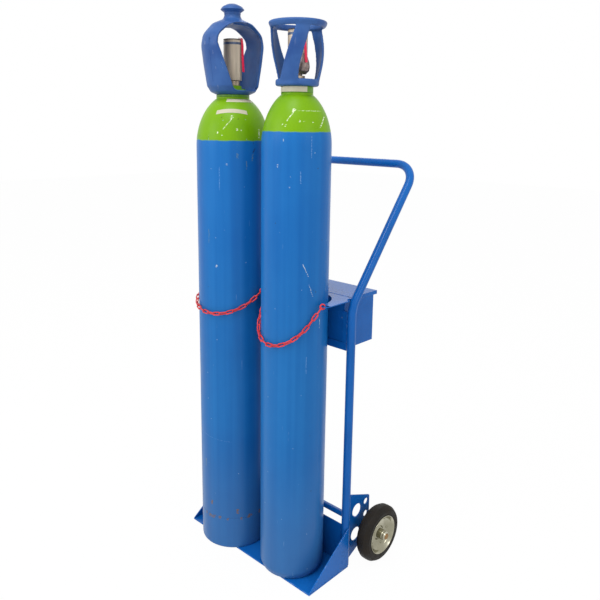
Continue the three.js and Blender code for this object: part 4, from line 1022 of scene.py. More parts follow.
def weld_seams(sign):
    inwards = RIGHT * -sign
    foot = Vector((sign * UPRIGHT_X, UPRIGHT_Y, toe_top))
    seat = Vector((sign * UPRIGHT_X, UPRIGHT_Y, CRADLE_TOP))
    tube_end = Vector((sign * (UPRIGHT_X - PIPE_RADIUS), cross_middle.y, cross_middle.z))
    seams = [
        arc(foot, PIPE_RADIUS, inwards, FORWARD, math.pi, steps=24),
        arc(seat, PIPE_RADIUS + WELD_GAP, inwards, FORWARD, math.pi / 2, steps=14),
        arc(seat, PIPE_RADIUS + WELD_GAP, inwards, BACKWARD, math.pi / 3, steps=10),
    ]
    for offset in (-BRACKET_THICKNESS / 2, BRACKET_THICKNESS / 2):
        for heights in BRACKET_WELDS:
            x = sign * (UPRIGHT_X + offset)
            seams.append([Vector((x, UPRIGHT_Y + PIPE_RADIUS, z)) for z in heights])
    seams.append(arc(tube_end, CROSS_TUBE_RADIUS, UP, BACKWARD, 2 * math.pi, steps=28))
    return seams


weld_paths = weld_seams(-1) + weld_seams(1)
welds = beads(weld_paths, WELD_PITCH, WELD_RADIUS, WELD_UNEVENNESS, FRAME_ENAMEL)
add_piece(welds, "weld_beads", FRAME_ENAMEL, "frame")
print("welds:", len(weld_paths), "seams")

# %% [markdown]
# ## Gas bottles
#
# A bottle is a drawn steel shell: straight sides, a rounded foot and a shoulder that sweeps in to the neck.
# It is sprayed blue with a lime green shoulder. The paint is one material for each bottle, because the line
# between the colours is at its own height: it reads Object coordinates, so the height of a point says which
# colour it has. Specks and overspray are scattered over it by masks. The larger marks have their own places:
# one node group draws a mark at a bearing and height on a bottle, and is used for scratches through to bare
# metal, olive smears, dark drips, rust on the foot ring's seam, and painted highlights: pale strokes and
# spots on the glossy shoulder where lamps reflect in it.


# %% Draw marks on a bottle
def split(tree, vector):
    return add_node(tree, "ShaderNodeSeparateXYZ", Vector=vector).outputs


def mark_group():
    """A short line with soft sides, at a bearing and height on a bottle that stands at the origin."""
    labels = ["Wander", "Bearing", "Height", "Length", "Half width", "Slant"]
    group, given, result = effect_group("Mark on a bottle", labels, ["Mask"])
    turned = add_node(group, "ShaderNodeVectorRotate", rotation_type="Z_AXIS", Vector=given["Vector"])
    feed(group, times(group, given["Bearing"], -1.0), turned.inputs["Angle"])
    outward, sideways, height = split(group, turned.outputs[0])
    rise = compute(group, "SUBTRACT", height, given["Height"])
    leaning = compute(group, "SUBTRACT", sideways, times(group, rise, given["Slant"]))
    across = compute(group, "ABSOLUTE", compute(group, "ADD", leaning, given["Wander"]))
    thin = spread(group, compute(group, "DIVIDE", across, given["Half width"]), 0.3, 1.05, 1.0, 0.0)
    along = times(group, compute(group, "ABSOLUTE", rise), 2.0)
    short = compute(group, "LESS_THAN", along, given["Length"])
    front = compute(group, "GREATER_THAN", outward, 0.0)
    feed(group, times(group, times(group, thin, short), front), result["Mask"])
    return group


MARK = mark_group()
MARK_WANDER = 0.005
MARK_TONES = {
    "bare": (linear(206, 214, 206), 0.8),
    "faint": (linear(130, 166, 206), 0.5),
    "olive": (linear(118, 134, 92), 0.5),
    "drip": (linear(44, 36, 30), 0.8),
    "rust": (linear(122, 90, 22), 1.0),
    # painted highlight: pale strokes and spots where lamps reflect in the glossy shoulder paint
    "painted_highlight": (linear(240, 246, 220), 0.85),
}


def drift(paint, scale, reach):
    """A slow noise about zero that moves a line to and fro by up to half the reach."""
    waves = noise(paint.tree, paint.here, scale)
    return times(paint.tree, compute(paint.tree, "SUBTRACT", waves, 0.5), reach)


def lay_marks(paint, axis, marks):
    """Lays marks, each (bearing in degrees, height, length, half width, slant), over a bottle's paint."""
    tree = paint.tree
    place = vector_math(tree, "SUBTRACT", paint.here, (*axis, 0.0))
    wander = drift(paint, scale=130.0, reach=MARK_WANDER)
    uneven = spread(tree, noise(tree, paint.here, scale=290.0), 0.42, 0.56)
    for tone, (colour, strength) in MARK_TONES.items():
        mask = 0.0
        for bearing, height, length, half_width, slant in marks.get(tone, ()):
            mark = paint.effect(
                MARK, Vector=place, Wander=wander, Bearing=math.radians(bearing), Height=height,
                Length=length, Half_width=half_width, Slant=slant,
            )
            mask = compute(tree, "MAXIMUM", mask, mark["Mask"])
        if tone in marks:
            paint.lay(times(tree, mask, uneven), strength, colour)


print("marks:", list(MARK_TONES))

# %% Mix the bottle paint
LANE_STRETCH = (34.0, 34.0, 0.7)
LANE_SHARE = 0.6
LINE_WAVE = 0.006
LINE_BLUR = 0.002
OVERSPRAY_REACH = 0.045
GREEN_DEEP = linear(90, 142, 2)
GREEN_LIGHT = linear(116, 164, 3)


def bottle_paint(name, axis, line_height, marks):
    paint = Finish(name, "bottle_paint", mottle_scale=4.0, peel_scale=180.0, peel_strength=0.06,
                   peel_depth=0.0008, specular=0.18)
    tree = paint.tree
    height = split(tree, paint.here)[2]
    lanes = spread(tree, paint.stretched_noise(LANE_STRETCH, detail=2.0), 0.3, 0.7)
    shade = compute(tree, "ADD", times(tree, paint.shade, 1 - LANE_SHARE), times(tree, lanes, LANE_SHARE))
    paint.ground(linear(12, 92, 160), linear(26, 108, 175), shade)
    paint.lay(spread(tree, height, 0.6, 1.2), 0.2, linear(6, 98, 186))
    paint.lay(spread(tree, height, 0.02, 0.5, 1.0, 0.0), 0.45, linear(66, 100, 146))
    green = blend_colour(tree, paint.shade, GREEN_DEEP, GREEN_LIGHT)
    above = compute(tree, "ADD", height, drift(paint, scale=30.0, reach=LINE_WAVE))
    is_green = spread(tree, above, line_height - LINE_BLUR, line_height + LINE_BLUR)
    paint.lay(is_green, 1.0, green)
    overspray = paint.specks(scale=260.0, share=0.3, size=0.16)
    near_line = spread(tree, height, line_height - OVERSPRAY_REACH, line_height, 0.0, 0.8)
    below = compute(tree, "SUBTRACT", 1.0, is_green)
    paint.lay(times(tree, times(tree, overspray, near_line), below), 0.6, green)
    pale = paint.specks(scale=75.0, share=0.035, size=0.12)
    paint.lay(pale, 0.4, linear(170, 196, 206))
    paint.lay(paint.specks(scale=48.0, share=0.035, size=0.1), 0.6, linear(48, 58, 66))
    paint.lay(paint.scratches(stretch=(210.0, 210.0, 12.0), threshold=0.74), 0.3, linear(150, 182, 208))
    lay_marks(paint, axis, marks)
    return paint.finished(0.3, 0.4, pale)


LEFT_MARKS = {
    "rust": (
        (-99.7, 0.1096, 0.0103, 0.0058, 0),
        (-89.2, 0.108, 0.0115, 0.0094, 0),
        (-81.7, 0.11, 0.0138, 0.008, 0.6),
        (-68.5, 0.1133, 0.0115, 0.0065, 0),
        (-54.4, 0.112, 0.0092, 0.0049, 0),
        (-31.2, 0.1122, 0.0103, 0.0058, 0),
        (-17.6, 0.1172, 0.0138, 0.008, 0.5),
        (-12.9, 0.1172, 0.0069, 0.0046, 0),
        (3.7, 0.1184, 0.0149, 0.0064, 0),
        (-37.7, 0.1405, 0.0172, 0.0064, 0),
        (-84.9, 0.1598, 0.0161, 0.0043, 0),
    ),
    "drip": (
        (-9.5, 1.3578, 0.016, 0.0018, 0.1),
        (-8.4, 1.332, 0.013, 0.0034, 0.5),
        (-61.8, 1.4289, 0.004, 0.002, 0.4),
        (-32.1, 1.4251, 0.004, 0.002, 0.4),
        (-83.2, 1.3684, 0.007, 0.0018, 0.6),
    ),
    "olive": (
        (-10.8, 1.3127, 0.024, 0.0045, 0.2),
        (-35.1, 1.3163, 0.017, 0.0034, 0),
        (-21, 1.2888, 0.025, 0.0026, 0),
        (-83.3, 1.0703, 0.042, 0.0026, 0),
        (-99.2, 0.2956, 0.03, 0.004, 0),
    ),
    "bare": (
        (-51, 1.291, 0.005, 0.003, 0),
        (-69.3, 0.9776, 0.008, 0.004, 0.3),
    ),
    "faint": (
        (-63, 1.2476, 0.07, 0.0014, 0),
        (-82, 0.3966, 0.0095, 0.008, -12.9),
    ),
    # painted highlights where lamps reflect in the glossy green shoulder
    "painted_highlight": (
        (-49.6, 1.412, 0.036, 0.002, 0.83),
        (-44, 1.43, 0.01, 0.0045, 0.3),
        (-65.9, 1.384, 0.006, 0.0032, 0),
        (-58.6, 1.3768, 0.003, 0.002, 0),
        (-35, 1.3938, 0.006, 0.0034, 0),
        (-28.6, 1.3915, 0.003, 0.002, 0),
        (3.7, 1.382, 0.026, 0.0026, 0.2),
    ),
}
RIGHT_MARKS = {
    # painted highlights where lamps reflect in the glossy green shoulder
    "painted_highlight": (
        (-57.3, 1.4358, 0.032, 0.002, 0.72),
        (-53.4, 1.4496, 0.009, 0.004, 0.3),
        (-41.4, 1.421, 0.006, 0.003, 0),
        (-33.4, 1.4198, 0.002, 0.003, 0),
        (-65.5, 1.4082, 0.006, 0.0026, 0.4),
        (-71.3, 1.4108, 0.004, 0.0024, 0.6),
        (-17.5, 1.4174, 0.003, 0.0024, 0),
        (4.2, 1.418, 0.03, 0.0036, 1),
        (-18, 1.4485, 0.0016, 0.042, 0),
    ),
    "bare": (
        (-29.3, 1.004, 0.038, 0.0013, -0.49),
        (-19.5, 0.943, 0.036, 0.0011, -0.36),
        (0, 0.838, 0.026, 0.0013, 0),
        (-67.5, 1.3684, 0.008, 0.0015, 0),
        (-77.1, 1.2978, 0.009, 0.003, 0),
        (-56.7, 1.24, 0.003, 0.002, 0),
    ),
    "faint": (
        (-22.3, 1.35, 0.06, 0.0016, 0),
        (-39.3, 1.2674, 0.034, 0.002, 0),
        (-25.7, 0.7174, 0.05, 0.0018, 0),
    ),
}
PAINTS = {
    "left": bottle_paint("left_bottle_paint", AXES["left"], 1.361, LEFT_MARKS),
    "right": bottle_paint("right_bottle_paint", AXES["right"], 1.3915, RIGHT_MARKS),
}
print("bottle paint:", [paint.name for paint in PAINTS.values()])

# %% Turn the bottle shells
STANDING_HEIGHT = 5.3
BOTTLES = {
    "left": {
        "radius": 114.5, "neck_radius": 51, "neck": 1491,
        "foot": [(0, 30, 0), (94, 66, 20), (110.1, 110.6, 0), (114, 114.2, 0.4), (114.5, 114.9, 0.4)],
    },
    "right": {
        "radius": 102, "neck_radius": 46, "neck": 1499,
        "foot": [
            (0, 27.3, 0), (74, 8, 20), (84, STANDING_HEIGHT, 4), (94, STANDING_HEIGHT, 8), (102, 26, 30),
        ],
    },
}
FOOT_RING = (
    (109.2, STANDING_HEIGHT, 1.5), (113.7, STANDING_HEIGHT, 4), (114.5, 12, 4), (114.5, 113.2, 0.4),
    (114, 113.9, 0.4), (109.2, 113.9, 0.5),
)
SHOULDER_DROP = 151
SHOULDER_OVERRISE = 12
SHOULDER_STEPS = 26
SHOULDER_GAP = 3
NECK_FILLET = 6
SPIGOT_RADIUS = 27
SPIGOT_HEIGHT = 34
BOTTLE_SEGMENTS = 128


def shoulder(bottle):
    """A quarter ellipse from the straight side that sinks into the neck."""
    spring = bottle["neck"] - SHOULDER_DROP
    rise = SHOULDER_DROP + SHOULDER_OVERRISE
    last = math.acos((bottle["neck_radius"] + SHOULDER_GAP) / bottle["radius"])
    curve = []
    for step in range(SHOULDER_STEPS + 1):
        angle = last * step / SHOULDER_STEPS
        curve.append((bottle["radius"] * math.cos(angle), spring + rise * math.sin(angle), 0))
    return curve


def shell_outline(bottle):
    neck = bottle["neck"]
    neck_radius = bottle["neck_radius"]
    spigot = neck + SPIGOT_HEIGHT
    top = [
        (neck_radius, neck - NECK_FILLET, 5), (neck_radius, neck, 1.2), (SPIGOT_RADIUS, neck, 0),
        (SPIGOT_RADIUS, spigot, 1), (0, spigot, 0),
    ]
    return rounded(bottle["foot"] + shoulder(bottle) + top)


def turn_on_bottle(side, outline, segments, closed=True):
    return lathe(outline, (*AXES[side], 0), segments, closed=closed)


for side, bottle in BOTTLES.items():
    shell = turn_on_bottle(side, shell_outline(bottle), BOTTLE_SEGMENTS, closed=False)
    add_piece(shell, f"bottle_{side}_shell", PAINTS[side], f"bottle_{side}", f"bottle_shell_{side}")
    print("shell faces,", side, len(shell.polygons))
foot_ring = turn_on_bottle("left", rounded(FOOT_RING, closed=True), BOTTLE_SEGMENTS)
add_piece(foot_ring, "foot_ring_round", PAINTS["left"], "bottle_left", "foot_ring_left")

# %% [markdown]
# ## Necks, valves and pull strips
#
# Under each guard a threaded neck ring is pressed on to the bottle. The valve is hidden in a satin metal
# sleeve with a blued line near its top, and a red strip is pulled to open its seal. These are all turned,
# apart from the strips, which are thin ribbons that fold over the sleeve's edge and twist as they hang, and
# the labels, which are bands bent round part of a neck or shoulder and left bare.

# %% Turn the necks and sleeves
FITTING_GAP = 0.3
FITTING_SEGMENTS = 72
NECK_BORE = 28.4
THREAD_RADIUS = 39.4
STEM_DEPTH = 26
SLEEVES = {"left": (1541, 1663), "right": (1594, 1672)}


def neck_ring(side, flange, thread):
    bottle = BOTTLES[side]
    low = bottle["neck"] + FITTING_GAP
    shelf = bottle["neck"] + flange
    top = shelf + thread
    return rounded([
        (NECK_BORE, low, 0), (bottle["neck_radius"], low, 0.8), (bottle["neck_radius"], shelf, 0.8),
        (THREAD_RADIUS, shelf, 0.3), (THREAD_RADIUS, top, 1), (NECK_BORE, top, 0.6),
    ], closed=True)


def valve_post(side, collar_top, post_top):
    seat = BOTTLES[side]["neck"] + SPIGOT_HEIGHT + FITTING_GAP
    stem = seat - STEM_DEPTH
    return rounded([
        (0, stem, 0), (10.8, stem, 0), (12.2, seat, 0), (22, seat, 1), (22, collar_top, 1.5),
        (14, collar_top, 1), (14, post_top, 1), (0, post_top, 0),
    ])


def sleeve(side):
    low, high = SLEEVES[side]
    return rounded([
        (26, low, 0.4), (28, low, 0.4), (28, high - 4, 4), (24.5, high - 0.6, 3), (19, high, 2), (0, high, 0),
        (0, high - 2, 0), (26, high - 6, 2),
    ], closed=True)


TURNED = (
    ("neck_ring", "left", neck_ring("left", 6.5, 18), RING_PAINT, True),
    ("neck_ring", "right", neck_ring("right", 17.5, 15), RING_PAINT, True),
    ("valve_body", "left", valve_post("left", 1540.7, 1635), WORN_BRASS, False),
    ("valve_body", "right", valve_post("right", 1546, 1644), WORN_BRASS, False),
    ("valve_sleeve", "left", sleeve("left"), SATIN, True),
    ("valve_sleeve", "right", sleeve("right"), SATIN, True),
)
for kind, side, outline, material, closed in TURNED:
    node = f"{kind}_{side}"
    fitting = turn_on_bottle(side, outline, FITTING_SEGMENTS, closed)
    add_piece(fitting, node + "_round", material, f"bottle_{side}", node)
for side, (low, high) in SLEEVES.items():
    line = ring_outline(27, 28.2, high - 17, high - 10, 0.3)
    edge = ring_outline(24.5, 28.1, high - 2.6, high - 0.2, 0.8)
    for name, outline, material in (("sleeve_line", line, BLUED), ("sleeve_edge", edge, DARK_STEEL)):
        band = turn_on_bottle(side, outline, FITTING_SEGMENTS)
        add_piece(band, f"{name}_{side}", material, f"bottle_{side}")
print("turned fittings:", len(TURNED))

# %% Bend the bare labels
LABEL_THICKNESS = 0.45
LABEL_DEPTH = -1.5
LABEL_STEPS = 36
LABEL_ROWS = 4
# Each label's name, bottle, lower and upper edge, first and last bearing, and the drop of its ends.
LABELS = (
    ("neck_label_left", "left", 1475, 1484, -60, 26, 0),
    ("shoulder_label_left", "left", 1443, 1454.5, -75, -13, 5.5),
    ("neck_label_right", "right", 1501, 1515.5, -128, -9, 0),
)


def round_axis(axis, radius, bearing, height):
    """A point in metres, at a radius and height in millimetres round a bottle's axis."""
    x = axis[0] + radius * MM * math.cos(bearing)
    y = axis[1] + radius * MM * math.sin(bearing)
    return Vector((x, y, height * MM))


def shell_radius(bottle, height):
    """The radius of a bottle's shoulder or neck at a height, both in millimetres."""
    share = (height - bottle["neck"] + SHOULDER_DROP) / (SHOULDER_DROP + SHOULDER_OVERRISE)
    curve = bottle["radius"] * math.sqrt(max(1 - share ** 2, 0))
    return max(curve, bottle["neck_radius"])


def bent_label(side, low, high, start, end, drop):
    """A thin band round part of a shoulder or neck, whose ends hang lower than its middle by the drop."""
    heights = [low + (high - low) * row / LABEL_ROWS for row in range(LABEL_ROWS + 1)]
    edge = [(height, LABEL_THICKNESS) for height in heights]
    edge += [(height, LABEL_DEPTH) for height in reversed(heights)]
    rings = []
    for step in range(LABEL_STEPS + 1):
        share = step / LABEL_STEPS
        bearing = math.radians(start + (end - start) * share)
        fall = drop * (2 * share - 1) ** 2
        ring = []
        for height, lift in edge:
            radius = shell_radius(BOTTLES[side], height - fall) + lift
            ring.append(round_axis(AXES[side], radius, bearing, height - fall))
        rings.append(ring)
    return to_mesh(skin_rings(rings))


for name, side, *band in LABELS:
    add_piece(bent_label(side, *band), name, LABEL_PAPER, f"bottle_{side}")
print("bare labels:", len(LABELS))

# %% Lay the pull strips and turn the outlet cover
STRIP_THICKNESS = 0.0012
STRIP_HALF_WIDTH = 0.0036
STRIP_EDGE = 0.0003
STRIP_STEPS = 10
STRIP_CORNERS = ((0, -1), (1, -1), (1, 1), (0, 1))
TWIST_SHARE = 0.3
# Each strip's bottle, bearing and twist in degrees, and its route as corners (radius, height, rounding).
STRIPS = (
    ("left", 24, -48, ((20, 1665, 0), (30, 1665, 3), (32.4, 1645, 40), (33.2, 1605, 60), (35.5, 1566, 0))),
    ("right", -13, -26, ((20, 1674, 0), (30, 1674, 3), (33, 1655, 40), (40, 1610, 40), (44, 1580, 0))),
)
OUTLET_PROFILE = (
    (0, 0, 0), (9, 0.5, 1), (11, 3, 1.5), (17.5, 9, 5), (19.5, 20, 9), (18, 33, 9), (13, 47, 9),
    (9.5, 58, 1.5), (0, 58, 0),
)
OUTLET_REACH = 22
OUTLET_BEARING = math.radians(-3)
OUTLET_LOW = 1549
OUTLET_SEGMENTS = 64


def pull_strip(axis, bearing, twist, corners):
    """A ribbon along a route that turns its face by the twist as it hangs."""
    route = rounded(corners, steps=STRIP_STEPS)
    points = [round_axis(axis, radius, bearing, height) for radius, height in route]
    rings = []
    for i, point in enumerate(points):
        share = i / (len(points) - 1)
        turned = bearing + twist * min(share / TWIST_SHARE, 1.0)
        across = Vector((-math.sin(turned), math.cos(turned), 0))
        over = ahead_at(points, i).cross(across).normalized()
        ring = []
        for rise, turn in STRIP_CORNERS:
            ring.append(point + over * (rise * STRIP_THICKNESS) + across * (turn * STRIP_HALF_WIDTH))
        rings.append(ring)
    bm = skin_rings(rings)
    bmesh.ops.recalc_face_normals(bm, faces=bm.faces)
    ease_edges(bm, STRIP_EDGE)
    return to_mesh(bm)


for side, bearing, twist, corners in STRIPS:
    strip = pull_strip(AXES[side], math.radians(bearing), math.radians(twist), corners)
    add_piece(strip, f"pull_strip_{side}", STRIP_PLASTIC, f"bottle_{side}", f"seal_strip_{side}")
outlet_at = round_axis(AXES["right"], OUTLET_REACH, OUTLET_BEARING, OUTLET_LOW)
outlet = lathe(rounded(OUTLET_PROFILE), outlet_at, OUTLET_SEGMENTS, closed=False)
add_piece(outlet, "outlet_cover_round", COVER_STEEL, "bottle_right", "outlet_cover_right")
print("strips:", len(STRIPS))

# %% [markdown]
# ## Valve guards
#
# The guards are thick plastic mouldings with every edge rounded over. They are built as sharp solids first:
# the left one is a turned tulip with two wide arched windows cut through it, and the right one a collar and a
# grip ring with three straps that wind between them. A voxel remesh then fuses each into one skin, and a
# little smoothing rounds its edges over as a mould does. The lifting knob's thin rim would be lost in that,
# so the knob is turned by itself and stands on the dome.

# %% Set up the mouldings
VOXEL = 0.0019
SMOOTHING = 0.5
SMOOTHING_ROUNDS = 7
GUARD_SEGMENTS = 128
GUARD_BASES = {"left": 1498, "right": 1517}
GUARD_BORE = 40.2


def turn_on_guard(side, profile, segments=GUARD_SEGMENTS, closed=True):
    """Turns an outline whose heights are measured from the guard's base."""
    outline = [(radius, height + GUARD_BASES[side]) for radius, height in rounded(profile, closed)]
    return turn_on_bottle(side, outline, segments, closed)


def moulded(blank, others, operation):
    """Cuts or joins the other meshes, then remeshes and smooths the result into one moulded skin."""
    body, *tools = [bpy.data.objects.new("moulding", mesh) for mesh in (blank, *others)]
    for made in (body, *tools):
        scene.collection.objects.link(made)
    for tool in tools:
        step = body.modifiers.new("shape", "BOOLEAN")
        step.operation = operation
        step.solver = "EXACT"
        step.object = tool
    skin = body.modifiers.new("skin", "REMESH")
    skin.mode = "VOXEL"
    skin.voxel_size = VOXEL
    soften = body.modifiers.new("soften", "SMOOTH")
    soften.factor = SMOOTHING
    soften.iterations = SMOOTHING_ROUNDS
    graph = bpy.context.evaluated_depsgraph_get()
    mesh = bpy.data.meshes.new_from_object(body.evaluated_get(graph), depsgraph=graph)
    mesh.shade_smooth()
    for made in (body, *tools):
        bpy.data.objects.remove(made)
    return mesh


print("moulding: voxels of", VOXEL, "m")

# %% Mould the left guard
WINDOW_BEARING = math.radians(-11)
TULIP_OUTSIDE = (
    (GUARD_BORE, 0, 0), (52, 0.5, 3), (68.5, 8, 10), (79, 24, 12), (89.3, 90, 120), (95.6, 144, 60),
    (90, 176, 40), (62, 208, 30), (29, 222, 12), (24.5, 232, 3), (24.5, 242, 0), (0, 242, 0),
)
TULIP_INSIDE = (
    (0, 208, 0), (50, 201, 30), (84, 171, 30), (88, 144, 60), (81, 90, 100), (71, 24, 8), (60, 14, 4),
    (GUARD_BORE, 14, 0),
)
KNOB_PROFILE = (
    (0, 236, 0), (25, 236, 0), (25.2, 242, 2), (34.8, 248.8, 0.5), (36, 250.4, 0.7), (30, 258.6, 12),
    (14, 266.5, 20), (0, 268, 0),
)
KNOB_SEGMENTS = 96
WINDOW_SILL = 12
WINDOW_SPRINGING = 150
WINDOW_CROWN = 208
WINDOW_HALF_TURN = 59
SILL_HALF_TURN = 27
SILL_OVERCUT = 6
SILL_CORNER = 10
SILL_CORNER_TURN = 10
ARCH_FULLNESS = 2.5
CUT_START = 42
CUT_END = 135
CORNER_STEPS = 8
WALL_STEPS = 12
ARCH_STEPS = 20
TICK_BEARING = math.radians(-88)
TICK_PITCH = 0.0046
TICK_RADIUS = 0.0014
TICK_UNEVENNESS = 0.1
TICK_WALL = ((81.4, 40), (84.4, 60), (87.4, 80), (90.2, 100), (92.7, 122), (94.6, 142), (94.4, 160))


def window_heights():
    """Heights of the cutter's rings, closer together round the sill's corners and the arch."""
    wall_foot = WINDOW_SILL + SILL_CORNER
    quarter = math.pi / 2
    heights = []
    for k in range(CORNER_STEPS + 1):
        heights.append(WINDOW_SILL + SILL_CORNER * (1 - math.cos(quarter * k / CORNER_STEPS)))
    for k in range(1, WALL_STEPS + 1):
        heights.append(wall_foot + (WINDOW_SPRINGING - wall_foot) * k / WALL_STEPS)
    for k in range(1, ARCH_STEPS):
        rise = math.sin(quarter * k / ARCH_STEPS)
        heights.append(WINDOW_SPRINGING + (WINDOW_CROWN - WINDOW_SPRINGING) * rise)
    return heights


def window_sides(height):
    """How far in degrees the window reaches to its left, which leans out as it rises, and to its right."""
    lean = (height - WINDOW_SILL) / (WINDOW_SPRINGING - WINDOW_SILL)
    left = SILL_HALF_TURN + (WINDOW_HALF_TURN - SILL_HALF_TURN) * lean
    if height > WINDOW_SPRINGING:
        share = (height - WINDOW_SPRINGING) / (WINDOW_CROWN - WINDOW_SPRINGING)
        arch = WINDOW_HALF_TURN * (1 - share ** ARCH_FULLNESS) ** (1 / ARCH_FULLNESS)
        return arch, arch
    if height < WINDOW_SILL + SILL_CORNER:
        below = 1 - (height - WINDOW_SILL) / SILL_CORNER
        inset = SILL_CORNER_TURN * (1 - math.sqrt(1 - below ** 2))
        return left - inset, WINDOW_HALF_TURN + SILL_OVERCUT - inset
    return left, WINDOW_HALF_TURN


def arched_window(facing):
    """A wide cutter with a flat sill, one upright side, one that leans out as it rises, and a full arch."""
    rings = []
    for height in window_heights():
        left, right = window_sides(height)
        middle = (right - left) / 2
        corners = [(CUT_START, -left), (CUT_END, -left), (CUT_END, middle), (CUT_END, right)]
        corners += [(CUT_START, right), (CUT_START, middle)]
        ring = []
        for radius, turn in corners:
            bearing = facing + math.radians(turn)
            ring.append(round_axis(AXES["left"], radius, bearing, GUARD_BASES["left"] + height))
        rings.append(ring)
    return to_mesh(skin_rings(rings))


tulip = turn_on_guard("left", TULIP_OUTSIDE + TULIP_INSIDE)
windows = [arched_window(WINDOW_BEARING + turn) for turn in (0, math.pi)]
left_guard = moulded(tulip, windows, "DIFFERENCE")
add_piece(left_guard, "left_guard_moulding", GUARD_PLASTIC, "bottle_left", "valve_guard_left")
knob = turn_on_guard("left", KNOB_PROFILE, KNOB_SEGMENTS, closed=False)
add_piece(knob, "left_guard_knob", GUARD_PLASTIC, "bottle_left")
tick_path = []
for radius, height in TICK_WALL:
    tick_path.append(round_axis(AXES["left"], radius, TICK_BEARING, GUARD_BASES["left"] + height))
ticks = beads([tick_path], TICK_PITCH, TICK_RADIUS, TICK_UNEVENNESS, GUARD_PLASTIC)
add_piece(ticks, "guard_ticks", GUARD_PLASTIC, "bottle_left")
print("left guard faces:", len(left_guard.polygons))

# %% Mould the right guard
COLLAR_PROFILE = (
    (GUARD_BORE, 0, 0), (58, 0, 3), (62, 3.5, 3), (62, 15.5, 4), (58.5, 19.5, 3), (48, 19.5, 2),
    (GUARD_BORE, 16, 0),
)
GRIP_PROFILE = (
    (65, 161, 2), (74, 157.5, 5), (79, 162, 4), (82.4, 170, 2), (81, 175, 2), (74, 177, 4), (66, 174, 3),
)
STRAPS = 3
STRAP_BEARING = math.radians(-31.6)
STRAP_WIND = math.radians(-42)
STRAP_LOW = 8
STRAP_HIGH = 170
STRAP_THICKNESS = 7
STRAP_FOOT_RADIUS = 61
STRAP_BELLY = 16.5
STRAP_BELLY_SHARE = 0.72
STRAP_HALF_TURN = 15
STRAP_WIDENING = 5
STRAP_FLARE = 11
STRAP_FLARE_POWER = 6
STRAP_STEPS = 40
STRAP_ARCS = 8


def winding_strap(facing):
    """A curved strap that leans round the guard and spreads at its foot."""
    rings = []
    for step in range(STRAP_STEPS + 1):
        share = step / STRAP_STEPS
        down = 1 - share
        half = math.radians(STRAP_HALF_TURN + STRAP_WIDENING * down + STRAP_FLARE * down ** STRAP_FLARE_POWER)
        middle = facing + STRAP_WIND * down
        swell = math.sin(math.pi / 2 * min(share / STRAP_BELLY_SHARE, 1))
        outer = STRAP_FOOT_RADIUS + STRAP_BELLY * swell
        turns = [middle - half + 2 * half * k / STRAP_ARCS for k in range(STRAP_ARCS + 1)]
        edge = [(outer, turn) for turn in turns]
        edge += [(outer - STRAP_THICKNESS, turn) for turn in reversed(turns)]
        height = GUARD_BASES["right"] + STRAP_LOW + (STRAP_HIGH - STRAP_LOW) * share
        rings.append([round_axis(AXES["right"], radius, turn, height) for radius, turn in edge])
    return to_mesh(skin_rings(rings))


collar = turn_on_guard("right", COLLAR_PROFILE)
grip = turn_on_guard("right", GRIP_PROFILE)
straps = [winding_strap(STRAP_BEARING + 2 * math.pi * k / STRAPS) for k in (-1, 0, 1)]
right_guard = moulded(collar, [grip, *straps], "UNION")
add_piece(right_guard, "right_guard_moulding", GUARD_PLASTIC, "bottle_right", "valve_guard_right")
print("right guard faces:", len(right_guard.polygons))

# %% [markdown]
# ## Chains
#
# Each chain runs from an eye in the cradle round the front of its bottle and back, and sags between. A chain
# is the classic case for Geometry Nodes: the route is a curve, one link is drawn as a rounded loop of wire,
# and the tree sets a link at each step along the route, turned a quarter from the one before. Links lean
# 45 degrees to the bottle, as they do when a chain hangs against a round wall.

# %% Lay out the chains
END_RING_RADIUS = 0.0075
STAND_OFF = 0.0065
ROUTE_STEPS = 160
CHAIN_TOP = CRADLE_TOP - CRADLE_THICKNESS / 2
# Each chain's bottle, first and last eye, and where and how high its lowest point hangs.
CHAINS = (
    ("left", CHAIN_EYES[1], CHAIN_EYES[0], 0.44, 0.825),
    ("right", CHAIN_EYES[3], CHAIN_EYES[2], 0.5, 0.774),
)


def tangent_bearing(axis, eye, radius, turn):
    offset = Vector(eye) - Vector(axis)
    return math.atan2(offset.y, offset.x) + turn * math.acos(radius / offset.length)


def lengths_along(points):
    runs = [0.0]
    for before, after in zip(points, points[1:]):
        runs.append(runs[-1] + (after - before).length)
    return runs


def chain_route(side, start_eye, end_eye, low_share, low_height):
    """The plan leaves each eye straight for the bottle and follows its front, and sags as a parabola."""
    axis = AXES[side]
    radius = BOTTLES[side]["radius"] * MM + STAND_OFF
    start = tangent_bearing(axis, start_eye, radius, -1)
    end = tangent_bearing(axis, end_eye, radius, 1)
    while end > start:
        end -= 2 * math.pi
    round_bottle = [Vector(point) for point in plan_arc(axis, radius, start, end, ROUTE_STEPS)]
    first, last = Vector(start_eye), Vector(end_eye)
    first += (round_bottle[0] - first).normalized() * END_RING_RADIUS
    last += (round_bottle[-1] - last).normalized() * END_RING_RADIUS
    plan = [first, *round_bottle, last]
    runs = lengths_along(plan)
    points = []
    for point, run in zip(plan, runs):
        share = run / runs[-1]
        reach = low_share if share < low_share else 1 - low_share
        rise = ((share - low_share) / reach) ** 2
        points.append(Vector((point.x, point.y, low_height + (CHAIN_TOP - low_height) * rise)))
    return points


def trimmed(points, cut):
    """The middle of a route, with the same length taken off each end, and the length that is left."""
    runs = lengths_along(points)

    def at(run):
        for i in range(1, len(points)):
            if runs[i] >= run:
                share = (run - runs[i - 1]) / (runs[i] - runs[i - 1])
                return points[i - 1].lerp(points[i], share)
        return points[-1]

    inside = [point for point, run in zip(points, runs) if cut < run < runs[-1] - cut]
    return [at(cut), *inside, at(runs[-1] - cut)], runs[-1] - 2 * cut


print("chains:", [chain[0] for chain in CHAINS])

# %% Draw a link and set it along a route
LINK_CORNER_STEPS = 6
LINK_SIDES = 10
# A corner radius of just under half the width keeps the loop's short sides from vanishing.
LINK_CORNER_SHARE = 0.499


